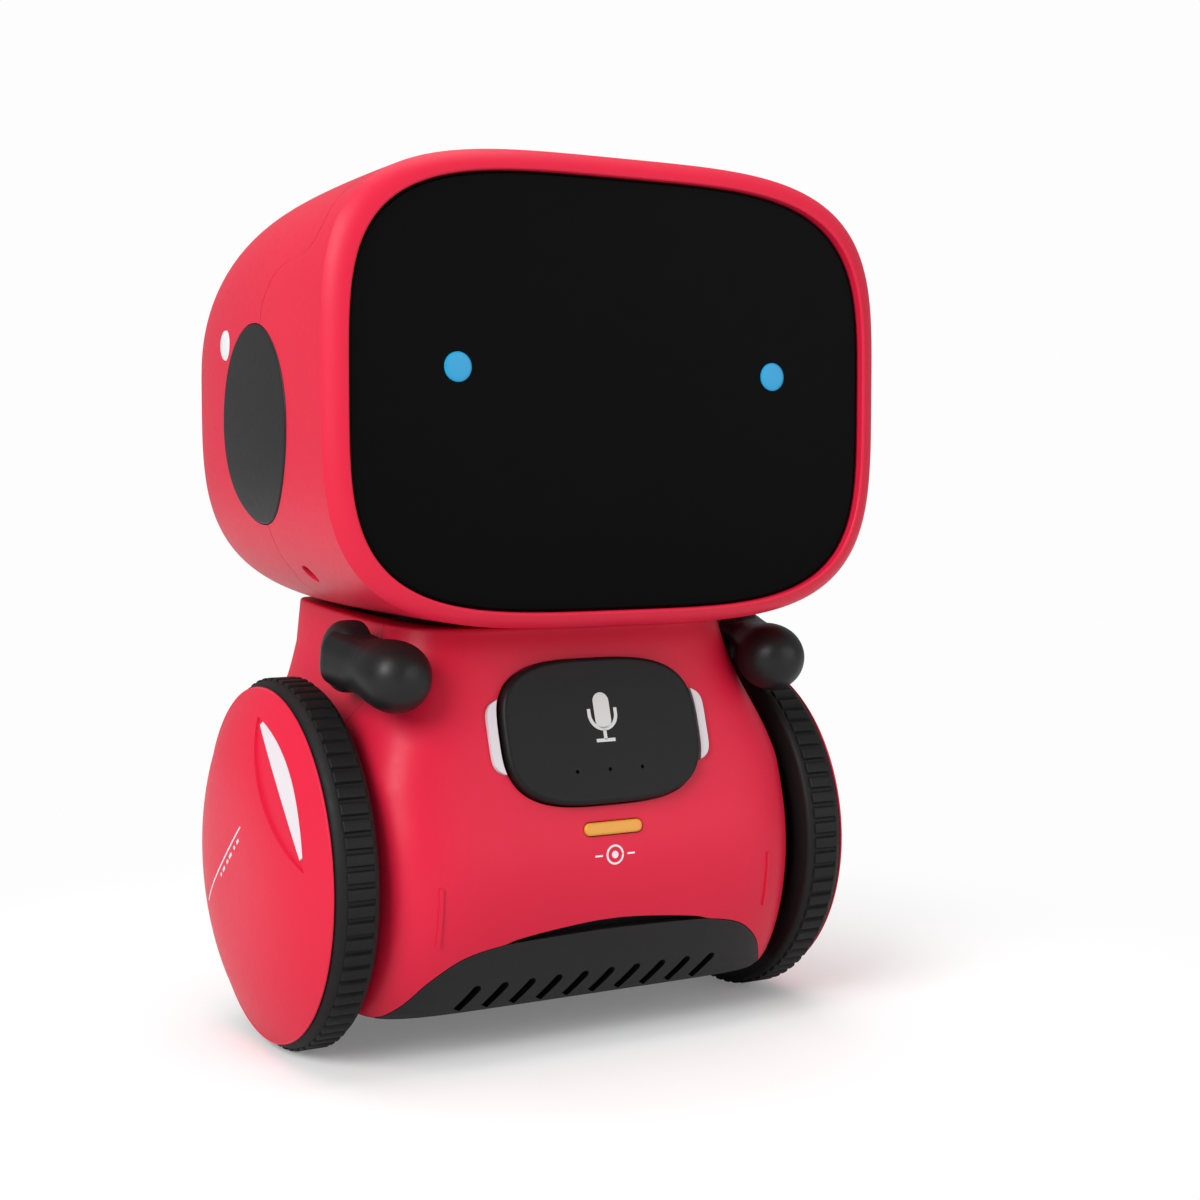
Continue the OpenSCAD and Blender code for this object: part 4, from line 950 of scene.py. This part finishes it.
def tyre(s, side):
    """A ring with a row of ribs round it."""
    land = np.array([0, 0.06, 0.9, 1, 1, 1, 1, 1, 0.9, 0.06])  # one rib and the groove before it
    steps = len(land) * RIBS
    land = np.tile(land, RIBS)
    ang = np.radians(-90 + 360 * np.arange(steps) / steps - 180 / RIBS)
    rings = []
    for x, r, k in TYRE_ROWS:
        rr = r + (TYRE_R - r) * land * k - (1 - land) * 0.18 * k
        rings.append(np.stack([np.full(steps, float(x)), rr * np.cos(ang), AXLE_Z + rr * np.sin(ang)], 1))
    verts = [p for r in rings for p in r]
    last = (len(rings) - 1) * steps
    closing = [(last + a, last + (a + 1) % steps, (a + 1) % steps, a) for a in range(steps)]
    ob = outward(make("tyre", verts, grid_faces(len(rings), steps) + closing))
    ob = ob if s > 0 else swap(ob)
    piece(ob, "tyre_" + side, "wheel_" + side, "tyre_black", mats["tyre_black"], "tyre_" + side)


# The arm's limb as (radius, distance from the shoulder) and its drum as (radius, x)
LIMB = [(4.2, -1.5), (5.0, 0), (4.95, 2), (4.85, 4), (4.8, 6), (4.85, 7.5), (5.1, 9), (5.5, 10.6),
        (5.85, 12.2), (6.08, 13.8), (6.15, 15.4), (6.0, 16.8), (5.5, 18.3), (4.6, 19.6), (3.3, 20.7),
        (1.8, 21.3), (0.3, 21.55)]
SHAFT = [(0.3, 30.2), (1.9, 30.2), (1.9, 31.6), (1.5, 31.6)]
DRUM = [(1.5, 37.2), (3, 37.3), (4.8, 37.7), (5.8, 38.1), (6.2, 38.7), (6.3, 39.5), (6.3, 41.2), (6.1, 42.2),
        (5.6, 43), (4.7, 43.8), (3.4, 44.4), (1.8, 44.7), (0.3, 44.8)]
ARM_IN, ARM_RAISED = 10.3, 9.3


def arm(s, side):
    """A short arm: a drum on its shaft, and a limb whose section turns from squarish to round."""
    rings = []
    for r, h in curve(LIMB, 4):
        k = min(1, max(0, (h - 5) / 7))
        roundness = 3.0 - k * k * (3 - 2 * k)
        rings.append(flat_ring(r, r, roundness, h, 96))
    aim = Matrix.Rotation(math.radians(-ARM_IN), 4, "Z") @ rot_x(ARM_RAISED) @ rot_x(90)
    limb = in_frame(loft("limb", rings), Matrix.Translation(SHOULDER) @ aim)
    drum = SHAFT + [tuple(p) for p in curve(DRUM, 4)]
    join(limb, lathe("drum", drum, "x", 96, (0, SHOULDER[1], SHOULDER[2])))
    ob = limb if s > 0 else swap(limb)
    piece(ob, f"arm_{side}_limb", "arm_" + side, "dark_plastic", mats["dark_plastic"], "arm_" + side)


head_shells()
for ear, side in zip(both(ear_disc()), SIDES.values()):
    piece(ear, "ear_" + side, "head", "dark_plastic", ear_dark, "ear_disc_" + side)
face_panel()
side_lamps()
body_shells()
chest_key()
microphone_icon()
small_key()
light_bars()
record_sign()
for s, side in SIDES.items():
    wheel_cap(s, side)
    tyre(s, side)
    arm(s, side)

# ---------------------------------------------------------------- stage, light and camera
CAMERA_AT, CAMERA_AZ, CAMERA_EL = (-0.17315, -0.33567, 0.10035), math.radians(-30.12), math.radians(3.39)
PAPER_WHITE = (0.982, 0.982, 0.982, 1)  # what the camera sees of the backdrop and the floor far away
SKY = 0.36
FLOOR_SEEN, FLOOR_THROWS = 1.0, 0.75  # the floor's brightness to the camera, and what it throws back
FADE_FROM, FADE_TO, FADE_LEAST = 0.045, 0.17, 0.16
LIGHT_AIM = (0, 0, 0.07)
FLOOR_HALF = 3000


def camera():
    data = bpy.data.cameras.new("camera")
    data.sensor_width = 36
    data.lens = 58.84
    ob = bpy.data.objects.new("camera", data)
    bpy.context.scene.collection.objects.link(ob)
    ob.location = CAMERA_AT
    flat = math.cos(CAMERA_EL)
    look = Vector((-math.sin(CAMERA_AZ) * flat, math.cos(CAMERA_AZ) * flat, -math.sin(CAMERA_EL)))
    ob.rotation_euler = look.to_track_quat("-Z", "Y").to_euler()
    bpy.context.scene.camera = ob


def camera_sees(tree, seen, otherwise, output):
    """Shows the camera one shader, while the light on the object comes from the other."""
    path, mix = tree.nodes.new("ShaderNodeLightPath"), tree.nodes.new("ShaderNodeMixShader")
    tree.links.new(path.outputs["Is Camera Ray"], mix.inputs[0])
    tree.links.new(otherwise.outputs[0], mix.inputs[1])
    tree.links.new(seen.outputs[0], mix.inputs[2])
    tree.links.new(mix.outputs[0], tree.nodes[output].inputs["Surface"])


def backdrop():
    world = bpy.data.worlds.new("studio")
    bpy.context.scene.world = world
    world.use_nodes = True
    tree = world.node_tree
    seen, sky = tree.nodes["Background"], tree.nodes.new("ShaderNodeBackground")
    seen.inputs["Color"].default_value = PAPER_WHITE
    sky.inputs["Color"].default_value = (0.99, 0.995, 1, 1)
    sky.inputs["Strength"].default_value = SKY
    camera_sees(tree, seen, sky, "World Output")


def paper():
    """Matt pale floor. Away from the object it fades into the backdrop's white, so no horizon shows."""
    m = bpy.data.materials.new("paper")
    m.use_nodes = True
    tree = m.node_tree
    new = tree.nodes.new
    tree.nodes.remove(tree.nodes["Principled BSDF"])
    near, thrown, away = new("ShaderNodeBsdfDiffuse"), new("ShaderNodeBsdfDiffuse"), new("ShaderNodeEmission")
    near.inputs["Color"].default_value = (FLOOR_SEEN, FLOOR_SEEN, FLOOR_SEEN, 1)
    thrown.inputs["Color"].default_value = (FLOOR_THROWS, FLOOR_THROWS, FLOOR_THROWS, 1)
    away.inputs["Color"].default_value = PAPER_WHITE
    place, length, fade = new("ShaderNodeTexCoord"), new("ShaderNodeVectorMath"), new("ShaderNodeMapRange")
    length.operation = "LENGTH"
    fade.interpolation_type = "SMOOTHSTEP"
    fade.inputs["From Min"].default_value = FADE_FROM
    fade.inputs["From Max"].default_value = FADE_TO
    fade.inputs["To Min"].default_value = FADE_LEAST
    blend = new("ShaderNodeMixShader")
    tree.links.new(place.outputs["Object"], length.inputs[0])
    tree.links.new(length.outputs["Value"], fade.inputs["Value"])
    tree.links.new(fade.outputs["Result"], blend.inputs[0])
    tree.links.new(near.outputs[0], blend.inputs[1])
    tree.links.new(away.outputs[0], blend.inputs[2])
    camera_sees(tree, blend, thrown, "Material Output")
    return m


def soft_light(name, where, size, power):
    data = bpy.data.lights.new(name, "AREA")
    data.shape = "RECTANGLE"
    data.size, data.size_y = size
    data.energy = power
    ob = bpy.data.objects.new(name, data)
    bpy.context.scene.collection.objects.link(ob)
    ob.location = where
    ob.rotation_euler = (Vector(LIGHT_AIM) - Vector(where)).to_track_quat("-Z", "Y").to_euler()


camera()
bpy.context.scene.view_settings.view_transform = "Standard"
backdrop()
corners = [(x * FLOOR_HALF, y * FLOOR_HALF, 0) for x, y in ((-1, -1), (1, -1), (1, 1), (-1, 1))]
floor = make("floor", corners, [(0, 1, 2, 3)])
floor.data.materials.append(paper())
soft_light("key", (-1.1, -0.55, 0.8), (0.8, 0.8), 17)
soft_light("fill", (0.6, -1.1, 0.35), (0.9, 0.7), 3.5)
soft_light("top", (0.0, 0.1, 1.2), (0.9, 0.9), 7)
